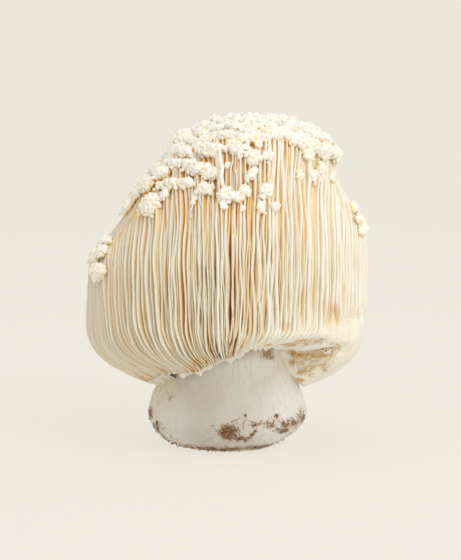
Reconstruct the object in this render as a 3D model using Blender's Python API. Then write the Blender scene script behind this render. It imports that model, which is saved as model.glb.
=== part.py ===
"""A lion's mane mushroom, as picked: a round cap hung with spines and tufted on its crown, on a
short flared stem that is cut off flat at its foot.

Metres, +Z up, the front faces -Y. The origin is the middle of the flat cut under the stem.
"""

import math
import random

import bmesh
import bpy
from mathutils import Vector, noise

MILLIMETRE = 0.001
SEED = 11

# Driving dimensions, in millimetres. Angles are in degrees from the front, growing to the right.

# The cap's side outline from its belly to the top of its crown: (height, half width, shift right)
CAP_OUTLINE = (
    (50.5, 54.6, -0.6),
    (63.5, 53.8, 0.0),
    (74.5, 52.6, 1.0),
    (83.5, 48.4, 4.2),
    (92.5, 43.6, 5.2),
    (101.5, 38.2, 5.4),
    (109.5, 32.8, 8.6),
    (116.0, 29.4, 9.4),
    (121.0, 22.5, 9.6),
    (123.9, 12.5, 9.6),
    (124.9, 0.0, 9.6),
)
CAP_DEPTH_SHARE = 0.94  # front to back against side to side
CAP_SWELL = 1.2  # how far the round form wanders from its outline
CAP_SWELL_SIZE = 30.0

# The lip, where the curtain ends over the stem: its height at even steps around from the front
LIP_HEIGHTS = (
    38.0,
    41.5,
    40.0,
    27.0,
    22.0,
    23.5,
    26.0,
    27.5,
    28.0,
    27.5,
    26.5,
    25.5,
    24.5,
    27.0,
    31.0,
    32.5,
)
LIP_RADIUS = 30.5
CURTAIN_ROUNDING = 3.0  # power of the curve by which the curtain turns in to its lip

# The spines, fused side by side into a ridged curtain
SPINES = 120
SPINE_DEPTH = 2.1  # from a ridge to the groove beside it
SPINE_OFFSET = 0.7  # how far single spines stand in front of or behind their neighbours
GROOVE_OFFSET_SHARE = 0.4  # how much of that the groove beside a spine follows
SPINE_TIP = (1.2, 3.4)  # how far a spine's tip hangs below the groove beside it
SPINE_TIP_STARTS = 0.7  # share of the way to the lip where the tips begin to part
SPINE_WANDER = 0.30  # sideways drift of one spine, as a share of the spacing between spines
SPINE_WANDER_SIZE = 18.0
SPINE_SWAY = 0.035  # sideways drift that neighbours share, in radians
SPINE_SWAY_SIZE = 60.0
SPINE_ROOT = (82.0, 96.0)  # heights between which the ridges sink into the crown
CURTAIN_STEPS = (1.0, 0.95, 0.86, 0.73, 0.56, 0.38, 0.26)  # rows, as shares of belly to lip
CURTAIN_HEIGHTS = (50.5, 64.0, 75.0, 85.0)  # rows from the belly up

# Where the curtain is torn away on the right and bare flesh shows under its edge
TORN_FROM = 34.0
TORN_TO = 122.0
TORN_HEIGHT = 41.5
TORN_HEIGHT_EDGE = 2.5  # height over which the tear fades
TORN_DEPTH = 4.2  # under the curtain's edge
TORN_DEPTH_KEPT = 0.3  # share of that depth near the stem
TORN_ROUGHNESS = 0.9
TORN_ROUGH_SIZE = 6.0
TORN_EDGE = 9.0  # degrees over which the tear fades

# The tufts, crumbly knobs that cover the crown
TUFT_LINE = 93.0  # height of their lower edge
TUFT_SPACING = 6.6
TUFT_RADIUS = (4.0, 5.2)
TUFT_HEIGHT = (3.0, 4.6)
TUFT_TRIES = 4000  # places tried for a tuft; those too near another are dropped
TUFT_CRUMBLE = 0.4
TUFT_CRUMBLE_SIZE = 3.2
CROWN_ROW = 2.8  # spacing of the rows of points over the crown
CROWN_COLUMN = 1.45  # a ring whose points are closer than this gets half as many
LOOSE_TUFTS = (  # single knobs lower on the sides: (angle, height, radius, how far it stands out)
    (-97.0, 75.5, 6.0, 2.8),
    (-84.0, 82.5, 5.0, 2.4),
    (88.0, 86.5, 5.0, 2.6),
)

# The stem's outline from its foot upwards: (height, radius)
STEM_OUTLINE = (
    (0.0, 17.0),
    (1.2, 21.5),
    (4.0, 26.4),
    (8.0, 29.6),
    (13.0, 31.0),
    (18.5, 29.7),
    (24.5, 27.4),
    (30.5, 25.6),
    (35.5, 24.8),
)
STEM_SIDES = 44
STEM_LUMPS = 0.8
STEM_LUMP_SIZE = 15.0
STEM_LUMPS_START = 6.0  # height by which the lumps have their full size
STEM_TRIM = 4.2  # how much the foot is worn back on its right side
STEM_TRIM_HEIGHT = 6.0
STEM_NECK = (20.0, 40.0)  # heights between which the stem leans into the slope of its top

# The joint where the stem grows into the cap, a sloping face inside a hollow under the cap
JOINT_HEIGHT = 40.0  # on the stem's axis
JOINT_SLOPE = 0.17  # rise to the right
JOINT_RADIUS = 24.2
JOINT_GAP = 0.3
HOLLOW_RADIUS = 27.4
HOLLOW_MOUTH_RADIUS = 28.8
HOLLOW_MOUTH_RISE = 1.2  # from the lip up to the hollow's mouth

CAP_COLOUR = (0.86, 0.79, 0.66, 1.0)
STEM_COLOUR = (0.72, 0.67, 0.58, 1.0)
FLESH_ROUGHNESS = 0.75


def catmull(before, start, end, after, step):
    """One smooth curve's value between start and end."""
    slope_in = (end - before) / 2.0
    slope_out = (after - start) / 2.0
    rise = end - start
    bend = 3.0 * rise - 2.0 * slope_in - slope_out
    twist = slope_in + slope_out - 2.0 * rise
    return start + step * (slope_in + step * (bend + step * twist))


def along(stations, share):
    """The point a share of the way along the smooth curve through the stations."""
    place = share * (len(stations) - 1)
    first = min(int(place), len(stations) - 2)
    before = stations[max(first - 1, 0)]
    start = stations[first]
    end = stations[first + 1]
    after = stations[min(first + 2, len(stations) - 1)]
    return [
        catmull(b, s, e, a, place - first)
        for b, s, e, a in zip(before, start, end, after, strict=True)
    ]


def around(values, angle):
    """The smooth curve through values at even steps around a circle."""
    place = angle / (2.0 * math.pi) * len(values) % len(values)
    first = int(place)
    near = [values[(first + k) % len(values)] for k in (-1, 0, 1, 2)]
    return catmull(*near, place - first)


def fade(value, low, high):
    """0 at low, 1 at high, smooth between, and level beyond them."""
    share = min(max((value - low) / (high - low), 0.0), 1.0)
    return share * share * (3.0 - 2.0 * share)


def wobble(place, size):
    """Smooth noise from -1 to 1 whose bumps are about size across."""
    return noise.noise(Vector(place) / size)


def outwards_at(angle):
    """The level direction away from the axis at an angle from the front."""
    return Vector((math.sin(angle), -math.cos(angle), 0.0))


def ring_angles(count):
    """Even angles around, starting at the front."""
    return [2.0 * math.pi * k / count for k in range(count)]


def outline_at_height(height):
    """Half width and shift of the cap's outline at a height above its belly."""
    low = 0.0
    high = 1.0
    while high - low > 1e-9:
        middle = (low + high) / 2.0
        if along(CAP_OUTLINE, middle)[0] < height:
            low = middle
        else:
            high = middle
    return along(CAP_OUTLINE, low)[1:]


def round_point(angle, height, half_width, shift, raised=0.0):
    """A point of the cap's round form, raised outwards from its own axis."""
    x = shift + half_width * math.sin(angle)
    y = -half_width * CAP_DEPTH_SHARE * math.cos(angle)
    place = Vector((x, y, height))
    swell = CAP_SWELL * wobble(place, CAP_SWELL_SIZE)
    return place + outwards_at(angle) * (raised + swell)


def torn_share(angle):
    """1 where the curtain is torn away, 0 elsewhere."""
    turn = math.degrees(angle) % 360.0
    begins = fade(turn, TORN_FROM, TORN_FROM + TORN_EDGE)
    ends = fade(turn, TORN_TO, TORN_TO - TORN_EDGE)
    return begins * ends


def curtain_columns():
    """For each column, a ridge or the groove beside it: its angle, how far it stands out, its tip."""
    draw = random.Random(SEED)
    columns = []
    half_step = math.pi / SPINES
    for number in range(SPINES):
        offset = draw.uniform(-SPINE_OFFSET, SPINE_OFFSET)
        tip = draw.uniform(*SPINE_TIP)
        columns.append((2 * number * half_step, offset, tip))
        groove = GROOVE_OFFSET_SHARE * offset - SPINE_DEPTH
        columns.append(((2 * number + 1) * half_step, groove, 0.0))
    return columns


def drift(angle, height):
    """How far round a column has drifted at a height, in radians."""
    belly_radius = CAP_OUTLINE[0][1]
    place = outwards_at(angle) * belly_radius
    place.z = height
    shared = SPINE_SWAY * wobble(place, SPINE_SWAY_SIZE)
    own_place = (angle * SPINES * SPINE_WANDER_SIZE, 0.0, height)
    own = SPINE_WANDER * 2.0 * math.pi / SPINES * wobble(own_place, SPINE_WANDER_SIZE)
    return shared + own * fade(height, SPINE_ROOT[1], SPINE_ROOT[0])


def curtain_side_point(column, height):
    """A point of the curtain at a height above the belly."""
    angle, raised, _ = column
    half_width, shift = outline_at_height(height)
    raised *= fade(height, SPINE_ROOT[1], SPINE_ROOT[0])
    return round_point(angle + drift(angle, height), height, half_width, shift, raised)


def curtain_foot_point(column, step):
    """A point of the curtain below the belly, a share of the way to the lip."""
    angle, raised, tip = column
    belly, half_width, shift = CAP_OUTLINE[0]
    height = belly + step * (around(LIP_HEIGHTS, angle) - belly)
    kept = 1.0 - step**CURTAIN_ROUNDING
    half_width = LIP_RADIUS + (half_width - LIP_RADIUS) * kept

    torn = torn_share(angle) * fade(height, TORN_HEIGHT, TORN_HEIGHT - TORN_HEIGHT_EDGE)
    rough_place = outwards_at(angle) * half_width
    rough_place.z = height
    depth = TORN_DEPTH * (1.0 - (1.0 - TORN_DEPTH_KEPT) * fade(step, 0.4, 0.8))
    bare = TORN_ROUGHNESS * wobble(rough_place, TORN_ROUGH_SIZE) - depth
    raised += torn * (bare - raised)

    height -= tip * fade(step, SPINE_TIP_STARTS, 1.0) * (1.0 - torn)
    return round_point(angle + drift(angle, height), height, half_width, shift * kept, raised)


def crown_levels():
    """Evenly spaced shares of the outline from the tufts' lower edge to near its top."""
    shares = [k / 600.0 for k in range(601)]
    points = [along(CAP_OUTLINE, share) for share in shares]
    walked = [0.0]
    for last, here in zip(points, points[1:], strict=False):
        walked.append(walked[-1] + math.hypot(here[0] - last[0], here[1] - last[1]))
    start = next(k for k, point in enumerate(points) if point[0] >= TUFT_LINE)
    length = walked[-1] - walked[start]
    rows = round(length / CROWN_ROW)
    targets = [walked[start] + length * row / rows for row in range(rows)]
    return [next(s for s, w in zip(shares, walked, strict=True) if w >= t) for t in targets]


def tuft_knobs():
    """Knobs spread over the crown, none too near another: the place, radius and height of each."""
    draw = random.Random(SEED)
    lowest = crown_levels()[0]
    knobs = []
    for _ in range(TUFT_TRIES):
        level = draw.uniform(lowest, 1.0)
        angle = draw.uniform(0.0, 2.0 * math.pi)
        height, half_width, shift = along(CAP_OUTLINE, level)
        place = round_point(angle, height, half_width, shift)
        if all((place - other).length > TUFT_SPACING for other, _, _ in knobs):
            knobs.append((place, draw.uniform(*TUFT_RADIUS), draw.uniform(*TUFT_HEIGHT)))
    for degrees, height, radius, stands_out in LOOSE_TUFTS:
        half_width, shift = outline_at_height(height)
        place = round_point(math.radians(degrees), height, half_width, shift)
        knobs.append((place, radius, stands_out))
    return knobs


def knob_height(point, knobs):
    """How far the tufts raise the cap's surface at a point."""
    raised = 0.0
    for place, radius, height in knobs:
        reach = (point - place).length / radius
        if reach < 1.0:
            raised = max(raised, height * math.sqrt(1.0 - reach * reach))
    return raised


def crown_point(angle, level, knobs):
    """A point of the tufted crown, raised square to the round form."""
    height, half_width, shift = along(CAP_OUTLINE, level)
    height_above, half_width_above, _ = along(CAP_OUTLINE, min(level + 0.01, 1.0))
    place = round_point(angle, height, half_width, shift)
    lean = math.atan2(half_width - half_width_above, height_above - height)
    square_out = outwards_at(angle) * math.cos(lean) + Vector((0.0, 0.0, math.sin(lean)))
    raised = knob_height(place, knobs) + TUFT_CRUMBLE * wobble(place, TUFT_CRUMBLE_SIZE)
    return place + square_out * raised


def joint_height(x):
    """Height of the sloping face where the stem grows into the cap."""
    return JOINT_HEIGHT + JOINT_SLOPE * x


def add_ring(mesh, points):
    """Add a ring of points, given in millimetres, to the mesh."""
    return [mesh.verts.new(point * MILLIMETRE) for point in points]


def join_rings(mesh, lower, upper):
    """Join two rings of points, the upper one having as many as the lower or half as many."""
    count = len(upper)
    for k in range(count):
        after = (k + 1) % count
        if len(lower) == count:
            mesh.faces.new((lower[k], lower[after], upper[after]))
            mesh.faces.new((lower[k], upper[after], upper[k]))
        else:
            middle = lower[2 * k + 1]
            mesh.faces.new((lower[2 * k], middle, upper[k]))
            mesh.faces.new((middle, lower[2 * after], upper[after]))
            mesh.faces.new((middle, upper[after], upper[k]))


def stack_rows(mesh, ring, rows):
    """Build rows of points one above the other on a ring, and return the last ring."""
    for row in rows:
        above = add_ring(mesh, row)
        join_rings(mesh, ring, above)
        ring = above
    return ring


def make_piece(name, mesh, colour):
    """Turn a finished mesh into a named, smooth-shaded object with its own material."""
    bmesh.ops.recalc_face_normals(mesh, faces=mesh.faces)
    data = bpy.data.meshes.new(name)
    mesh.to_mesh(data)
    mesh.free()
    data.shade_smooth()
    piece = bpy.data.objects.new(name, data)
    bpy.context.scene.collection.objects.link(piece)
    material = bpy.data.materials.new(name)
    material.use_nodes = True
    shader = material.node_tree.nodes["Principled BSDF"]
    shader.inputs["Base Color"].default_value = colour
    shader.inputs["Roughness"].default_value = FLESH_ROUGHNESS
    shader.inputs["Metallic"].default_value = 0.0
    data.materials.append(material)
    return piece


def hollow_rows():
    """The hollow under the cap that the stem's top stands in: its mouth and its ceiling."""
    mouth = []
    for angle in ring_angles(SPINES):
        point = outwards_at(angle) * HOLLOW_MOUTH_RADIUS
        rim = around(LIP_HEIGHTS, angle) + HOLLOW_MOUTH_RISE
        point.z = min(rim, joint_height(point.x) - JOINT_GAP)
        mouth.append(point)
    ceiling = []
    for angle in ring_angles(SPINES // 2):
        point = outwards_at(angle) * HOLLOW_RADIUS
        point.z = joint_height(point.x) + JOINT_GAP
        ceiling.append(point)
    return [mouth, ceiling]


def curtain_rows(columns, knobs):
    """The curtain's rows of points above its lip, with the loose tufts raised on it."""
    rows = [[curtain_foot_point(column, step) for column in columns] for step in CURTAIN_STEPS[1:]]
    for height in CURTAIN_HEIGHTS:
        row = []
        for column in columns:
            point = curtain_side_point(column, height)
            row.append(point + outwards_at(column[0]) * knob_height(point, knobs))
        rows.append(row)
    return rows


def crown_rows(knobs):
    """The crown's rows of points, with fewer to a ring as the rings grow small."""
    rows = []
    count = SPINES
    for level in crown_levels():
        around_it = 2.0 * math.pi * along(CAP_OUTLINE, level)[1]
        if around_it / count < CROWN_COLUMN and count % 2 == 0:
            count //= 2
        rows.append([crown_point(angle, level, knobs) for angle in ring_angles(count)])
    return rows


def make_cap():
    """The cap: hollow for the stem, lip, ridged curtain of spines and tufted crown, in one flesh."""
    mesh = bmesh.new()
    knobs = tuft_knobs()
    columns = curtain_columns()
    lip = add_ring(mesh, [curtain_foot_point(column, CURTAIN_STEPS[0]) for column in columns])
    ceiling = stack_rows(mesh, lip, hollow_rows())
    mesh.faces.new(ceiling)
    top_ring = stack_rows(mesh, lip, curtain_rows(columns, knobs) + crown_rows(knobs))
    top = mesh.verts.new(crown_point(0.0, 1.0, knobs) * MILLIMETRE)
    for k, corner in enumerate(top_ring):
        mesh.faces.new((corner, top_ring[(k + 1) % len(top_ring)], top))
    return make_piece("cap", mesh, CAP_COLOUR)


def stem_point(angle, height, radius):
    """A point of the stem's side, with its lumps, its worn right foot and its leaning neck."""
    outwards = outwards_at(angle)
    edge_height = STEM_OUTLINE[1][0]
    worn = STEM_TRIM * max(outwards.x, 0.0) * math.exp(-height / STEM_TRIM_HEIGHT)
    worn *= fade(height, 0.0, edge_height)
    place = outwards * radius
    place.z = height
    lumps = STEM_LUMPS * wobble(place, STEM_LUMP_SIZE) * fade(height, 0.0, STEM_LUMPS_START)
    point = outwards * (radius - worn + lumps)
    point.z = height + JOINT_SLOPE * point.x * fade(height, *STEM_NECK)
    return point


def make_stem():
    """The stem: a stout stalk that flares to a rounded foot with a flat cut under it."""
    mesh = bmesh.new()
    angles = ring_angles(STEM_SIDES)
    rows = [[stem_point(angle, *station) for angle in angles] for station in STEM_OUTLINE]
    joint = []
    for angle in angles:
        point = outwards_at(angle) * JOINT_RADIUS
        point.z = joint_height(point.x)
        joint.append(point)
    foot = add_ring(mesh, rows[0])
    mesh.faces.new(foot)
    mesh.faces.new(stack_rows(mesh, foot, rows[1:] + [joint]))
    return make_piece("stem", mesh, STEM_COLOUR)


for leftover in list(bpy.data.objects):
    bpy.data.objects.remove(leftover)
make_cap()
make_stem()
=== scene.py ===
"""The looks of a picked lion's mane mushroom: a pale round cap of hanging spines with a crumbly
white crown, on a short flared stem with soil on its foot.

Lengths are in millimetres in this file and become metres when a mesh is made. The front faces -Y,
+X is to the right, and the origin is the middle of the flat cut under the stem.
"""

import math
import random

import bpy
import numpy as np
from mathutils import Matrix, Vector, noise
from mathutils.bvhtree import BVHTree


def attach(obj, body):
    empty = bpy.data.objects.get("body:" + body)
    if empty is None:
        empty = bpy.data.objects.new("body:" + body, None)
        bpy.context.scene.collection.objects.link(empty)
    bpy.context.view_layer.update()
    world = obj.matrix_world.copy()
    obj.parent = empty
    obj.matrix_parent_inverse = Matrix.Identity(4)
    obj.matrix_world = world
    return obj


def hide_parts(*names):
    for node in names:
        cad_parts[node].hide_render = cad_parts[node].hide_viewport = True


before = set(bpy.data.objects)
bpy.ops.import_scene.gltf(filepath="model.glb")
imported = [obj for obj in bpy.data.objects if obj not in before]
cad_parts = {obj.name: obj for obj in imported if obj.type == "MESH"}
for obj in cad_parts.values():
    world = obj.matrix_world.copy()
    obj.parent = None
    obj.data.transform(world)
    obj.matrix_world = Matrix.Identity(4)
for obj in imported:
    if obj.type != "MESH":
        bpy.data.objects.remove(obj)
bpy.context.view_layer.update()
MILLIMETRE = 0.001


# ---------------------------------------------------------------------------------------------
# The view. The mushroom stands upright and is seen from the front, a little from above, through
# a long lens that hardly shrinks its far side.

VIEW_RISE = math.radians(6.0)
VIEW_DISTANCE = 0.9
VIEW_AIM = Vector((0.00097, 0.0, 0.0642))


def add_object(name, data):
    """A new object in the scene."""
    made = bpy.data.objects.new(name, data)
    bpy.context.scene.collection.objects.link(made)
    return made


lens = bpy.data.cameras.new("camera")
lens.lens = 149.5
lens.sensor_width = 36.0
camera = add_object("camera", lens)
camera.location = VIEW_AIM + VIEW_DISTANCE * Vector((0.0, -math.cos(VIEW_RISE), math.sin(VIEW_RISE)))
camera.rotation_euler = (math.pi / 2.0 - VIEW_RISE, 0.0, 0.0)
bpy.context.scene.camera = camera


# ---------------------------------------------------------------------------------------------
# The stem: a short stout stalk of firm, finely fibrous flesh that flares to a rounded foot. It
# grew from its block of soil and is cut off flat there; its top grows into the cap's underside.

STEM_OUTLINE = (  # from the foot upwards: (height, radius)
    (0.0, 17.0), (1.2, 21.5), (4.0, 26.4), (8.0, 29.6), (13.0, 31.0), (18.5, 29.7), (24.5, 27.4),
    (30.5, 25.6), (35.5, 24.8),
)
STEM_LUMPS = 0.8
STEM_LUMP_SIZE = 15.0
STEM_LUMPS_START = 6.0  # the height at which they reach their full size
STEM_TRIM = 4.2  # how much the foot is worn back on its right side
STEM_TRIM_HEIGHT = 6.0
STEM_NECK = (20.0, 40.0)  # heights between which the stem leans into the sloping joint
JOINT_HEIGHT = 40.0  # the sloping joint with the cap, on the stem's axis
JOINT_SLOPE = 0.17
JOINT_RADIUS = 24.2
STEM_COLUMNS = 300
STEM_ROWS = 110
STEM_CUT_ROWS = 8  # rings across the flat cut
STEM_RIM_LUMPS = 0.55  # crumbling along the edge of the foot
STEM_RIM_LUMP_SIZE = 3.6
STEM_RIM = (3.0, 3.5)  # height and half height where the foot crumbles most
STEM_RIM_LEAST = 0.35  # the share of that crumbling elsewhere
STEM_FIBRE = 0.10  # depth of the fibres' furrows
STEM_FIBRES = 46.0  # furrows around, in noise cells
STEM_FIBRE_LENGTH = 16.0
STEM_FIBRES_START = (3.0, 12.0)
SOILED_EDGE = (1.8, 1.7)  # height and half height of the line of soil along the foot's edge
SOILED_EDGE_SHARES = (0.5, 0.7)  # how soiled it is, and how much more in patches
SOILED_EDGE_PATCHES = 9.0
SOILED_FOOT = 10.0  # how high soil has rubbed into the foot
SOILED_FOOT_SHARES = (0.22, 0.34)  # how much, and how much more at its sides
SOILED_FOOT_SIDES = (16.0, 27.0)
SOILED_FOOT_PATCHES = 5.0
STEM_LIT_TOP = (21.0, 37.0)  # heights between which painted light turns the stem pale up under the cap
STEM_LIT_SIDES = ((0.8, 2.0, 24.0), (0.5, -8.0, -27.0))  # (how much painted light a side gets, from, to)

# Marks on the stem as seen from the front: (right, up, half width, half height, strength)
SOIL_MARKS = (
    (0.2, 4.9, 3.8, 3.3, 1.5), (1.6, 7.2, 2.0, 1.2, 0.8), (4.4, 2.4, 3.4, 1.2, 1.1),
    (3.8, 5.8, 1.8, 1.8, 0.6), (6.6, 1.6, 0.9, 0.7, 1.2), (8.1, 2.8, 0.9, 0.7, 1.3),
    (9.3, 4.0, 0.9, 0.7, 1.3), (10.7, 5.2, 0.9, 0.7, 1.0), (11.5, 8.0, 3.4, 1.5, 0.58),
    (17.0, 7.6, 2.6, 2.0, 0.7), (19.0, 11.2, 0.9, 0.9, 1.6), (20.8, 5.6, 3.6, 1.3, 0.95),
    (22.0, 8.0, 2.8, 2.2, 0.9), (25.6, 8.6, 2.4, 2.6, 0.8), (28.4, 10.8, 1.8, 3.6, 0.75),
    (6.6, 11.2, 0.6, 0.6, 1.2), (15.4, 36.8, 0.7, 1.3, 0.9), (16.6, 34.0, 0.8, 0.6, 0.7),
    (-6.2, 7.4, 0.6, 0.6, 1.2), (-6.2, 3.1, 0.9, 0.7, 0.5), (-30.2, 12.0, 1.4, 3.2, 0.95),
    (-27.6, 8.9, 0.7, 0.7, 1.1), (-27.4, 6.8, 1.8, 2.8, 0.8),
)
BACK_SOIL_MARKS = (  # the same on the far side, as seen from behind
    (-9.0, 5.0, 7.0, 3.6, 1.0),
    (12.0, 7.0, 5.0, 3.0, 0.7),
)
STAIN_MARKS = (
    (-19.9, 23.2, 1.0, 0.9, 0.55), (-22.3, 18.2, 0.9, 1.3, 0.6), (-26.7, 13.5, 1.2, 5.0, 0.3),
    (-25.0, 22.5, 5.5, 5.0, 0.34), (15.4, 36.4, 1.9, 2.8, 2.0), (16.7, 33.7, 1.5, 1.2, 1.3),
    (13.4, 35.4, 1.6, 2.6, 0.9), (-5.2, 24.8, 1.4, 0.5, 0.35), (3.5, 25.0, 1.6, 0.5, 0.3),
    (24.6, 25.0, 1.1, 0.5, 0.5),
)


def smooth_curve(before, start, end, after, step):
    """One smooth curve's value between start and end."""
    slope_in = (end - before) / 2.0
    slope_out = (after - start) / 2.0
    rise = end - start
    bend = 3.0 * rise - 2.0 * slope_in - slope_out
    twist = slope_in + slope_out - 2.0 * rise
    return start + step * (slope_in + step * (bend + step * twist))


def along(stations, share):
    """Points at shares of the way along the smooth curve through the stations."""
    stations = np.asarray(stations, float)
    last = len(stations) - 1
    place = np.asarray(share, float) * last
    first = np.clip(place.astype(int), 0, last - 1)
    near = [stations[np.clip(first + k, 0, last)] for k in (-1, 0, 1, 2)]
    return np.moveaxis(smooth_curve(*near, (place - first)[..., None]), -1, 0)


def fade(value, low, high):
    """0 at low, 1 at high, smooth between, and level beyond them."""
    share = np.clip((np.asarray(value, float) - low) / (high - low), 0.0, 1.0)
    return share * share * (3.0 - 2.0 * share)


def plateau(value, begins, full, still, ends):
    """1 between full and still, fading to 0 at both ends."""
    return fade(value, begins, full) * fade(value, ends, still)


def hump(value, middle, half_width):
    """1 at the middle, less and less to both sides of it."""
    return np.exp(-(((value - middle) / half_width) ** 2))


def between(ends, share):
    """A number between two, by a share."""
    return ends[0] + (ends[1] - ends[0]) * share


def unit(vectors):
    """Directions brought to length 1."""
    return vectors / (np.linalg.norm(vectors, axis=-1, keepdims=True) + 1e-12)


def shares(count):
    """Even steps from 0 to 1."""
    return np.linspace(0.0, 1.0, count)


def full_turn(count):
    """Even steps of angle around a whole circle."""
    return np.linspace(0.0, 2.0 * math.pi, count, endpoint=False)


def wobble(places, size):
    """Smooth noise from -1 to 1 at each place, with bumps about size across."""
    flat = (np.asarray(places, float) / size).reshape(-1, 3).tolist()
    return np.array([noise.noise(place) for place in flat]).reshape(np.shape(places)[:-1])


def points_at(x, y, z):
    """Points from their coordinates, each a number or an array."""
    return np.stack(np.broadcast_arrays(x, y, z), axis=-1).astype(float)


def outwards_at(angle):
    """The level direction away from the axis at angles from the front."""
    return points_at(np.sin(angle), -np.cos(angle), 0.0)


def joint_height(x):
    """Height of the sloping face where the stem grows into the cap."""
    return JOINT_HEIGHT + JOINT_SLOPE * x


def seen_from_front(points):
    """How far right and how high points appear in the view, nearer ones spread as its lens does."""
    aim = np.array(VIEW_AIM) / MILLIMETRE
    offset = points - aim
    toward = offset[..., 2] * math.sin(VIEW_RISE) - offset[..., 1] * math.cos(VIEW_RISE)
    spread = 1.0 / (1.0 - toward * MILLIMETRE / VIEW_DISTANCE)
    upwards = offset[..., 2] * math.cos(VIEW_RISE) + offset[..., 1] * math.sin(VIEW_RISE)
    return aim[0] + offset[..., 0] * spread, aim[2] * math.cos(VIEW_RISE) + upwards * spread


def marked(points, marks, front=True):
    """How strongly the marks cover each point on the front, or on the back."""
    right, up = seen_from_front(points)
    if not front:
        right = -right
    amount = np.zeros(right.shape)
    for mark_right, mark_up, half_width, half_height, strength in marks:
        reach = np.hypot((right - mark_right) / half_width, (up - mark_up) / half_height)
        amount = np.maximum(amount, strength * hump(reach, 0.0, 1.0))
    side = points[..., 1] < 0.0 if front else points[..., 1] > 0.0
    return amount * side


def grid_faces(count, rows, columns):
    """Faces of count grids of closed rows of points, and each corner's place on their map."""
    sizes = (count, rows - 1, columns)
    grid, row, column = np.meshgrid(*[np.arange(size) for size in sizes], indexing="ij")
    corners = []
    places = []
    for down, right in ((0, 0), (0, 1), (1, 1), (1, 0)):
        corners.append(grid * rows * columns + (row + down) * columns + (column + right) % columns)
        u = (grid + 0.04 + 0.92 * (column + right) / columns) / count
        v = 0.01 + 0.98 * (row + down) / (rows - 1)
        places.append(np.stack((u, v), axis=-1))
    quads = np.stack(corners, axis=-1).reshape(-1, 4)
    return quads, np.stack(places, axis=-2).reshape(-1, 2)


def end_faces(count, rows, columns):
    """The two faces that close each of count grids of closed rows."""
    first = np.arange(count)[:, None] * rows * columns + np.arange(columns)[None, :]
    last = first + (rows - 1) * columns
    return np.concatenate((first[:, ::-1], last))


def make_piece(name, points, quads, ends, map_places, marks, material):
    """A smooth-shaded object from points in millimetres, with a map and marks for its material."""
    data = bpy.data.meshes.new(name)
    points = np.asarray(points, float).reshape(-1, 3) * MILLIMETRE
    corners = np.concatenate((quads.ravel(), ends.ravel()))
    starts = np.arange(len(quads)) * 4
    if len(ends):
        end_starts = len(quads) * 4 + np.arange(len(ends)) * ends.shape[1]
        starts = np.concatenate((starts, end_starts))
    data.vertices.add(len(points))
    data.vertices.foreach_set("co", points.ravel())
    data.loops.add(len(corners))
    data.loops.foreach_set("vertex_index", corners.astype(np.int32))
    data.polygons.add(len(starts))
    data.polygons.foreach_set("loop_start", starts.astype(np.int32))
    data.update(calc_edges=True)
    for mark, values in marks.items():
        layer = data.attributes.new(mark, "FLOAT", "POINT")
        layer.data.foreach_set("value", np.asarray(values, np.float32).ravel())
    if map_places is not None:
        on_map = np.full((len(corners), 2), 0.001)
        on_map[: len(map_places)] = map_places
        data.uv_layers.new(name="OFBake").data.foreach_set("uv", on_map.ravel())
    data.shade_smooth()
    data.materials.append(material)
    return add_object(name, data)


def make_grid_piece(name, points, marks, material):
    """A piece from grids of closed rows: its points are count by rows by columns by 3."""
    count, rows, columns = points.shape[:3]
    quads, on_map = grid_faces(count, rows, columns)
    return make_piece(name, points, quads, end_faces(count, rows, columns), on_map, marks, material)


def seen(red, green, blue):
    """A surface colour from how it looks, 0 to 255 in each part."""
    parts = [part / 255.0 for part in (red, green, blue)]
    return (*[p / 12.92 if p < 0.04045 else ((p + 0.055) / 1.055) ** 2.4 for p in parts], 1.0)


def feed(tree, socket, source):
    """Give an input a value or another node's output."""
    if isinstance(source, bpy.types.NodeSocket):
        tree.links.new(source, socket)
    else:
        socket.default_value = source


def add_node(tree, kind, inputs=None, **settings):
    """A node in a tree with its settings, and its inputs by name or number."""
    node = tree.nodes.new(kind)
    for name, value in settings.items():
        setattr(node, name, value)
    for place, source in (inputs or {}).items():
        feed(tree, node.inputs[place], source)
    return node


def mark_of(tree, name):
    """The value of a piece's mark, as a material reads it."""
    return add_node(tree, "ShaderNodeAttribute", attribute_name=name).outputs["Fac"]


def own_place(tree):
    """The place on the object, in metres."""
    return add_node(tree, "ShaderNodeTexCoord").outputs["Object"]


def noise_at(tree, place, scale, detail):
    """Smooth noise from 0 to 1 at a place."""
    inputs = {"Vector": place, "Scale": scale, "Detail": detail}
    return add_node(tree, "ShaderNodeTexNoise", inputs).outputs["Fac"]


def mixed(tree, share, first, second):
    """A colour between two, by a share."""
    return add_node(tree, "ShaderNodeMix", {0: share, 6: first, 7: second}, data_type="RGBA").outputs[2]


def plus(tree, first, second):
    """Two numbers added."""
    return add_node(tree, "ShaderNodeMath", {0: first, 1: second}, operation="ADD").outputs[0]


def times(tree, first, second):
    """Two numbers multiplied."""
    return add_node(tree, "ShaderNodeMath", {0: first, 1: second}, operation="MULTIPLY").outputs[0]


def centred(tree, value, strength=1.0):
    """A number from 0 to 1 spread to both sides of 0."""
    less = add_node(tree, "ShaderNodeMath", {0: value, 1: 0.5}, operation="SUBTRACT").outputs[0]
    return less if strength == 1.0 else times(tree, less, strength)


def ranged(tree, value, low, high, to_low=0.0, to_high=1.0):
    """A value brought from one range to another, and held within it."""
    inputs = {"Value": value, "From Min": low, "From Max": high, "To Min": to_low, "To Max": to_high}
    return add_node(tree, "ShaderNodeMapRange", inputs, interpolation_type="SMOOTHSTEP").outputs["Result"]


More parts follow.
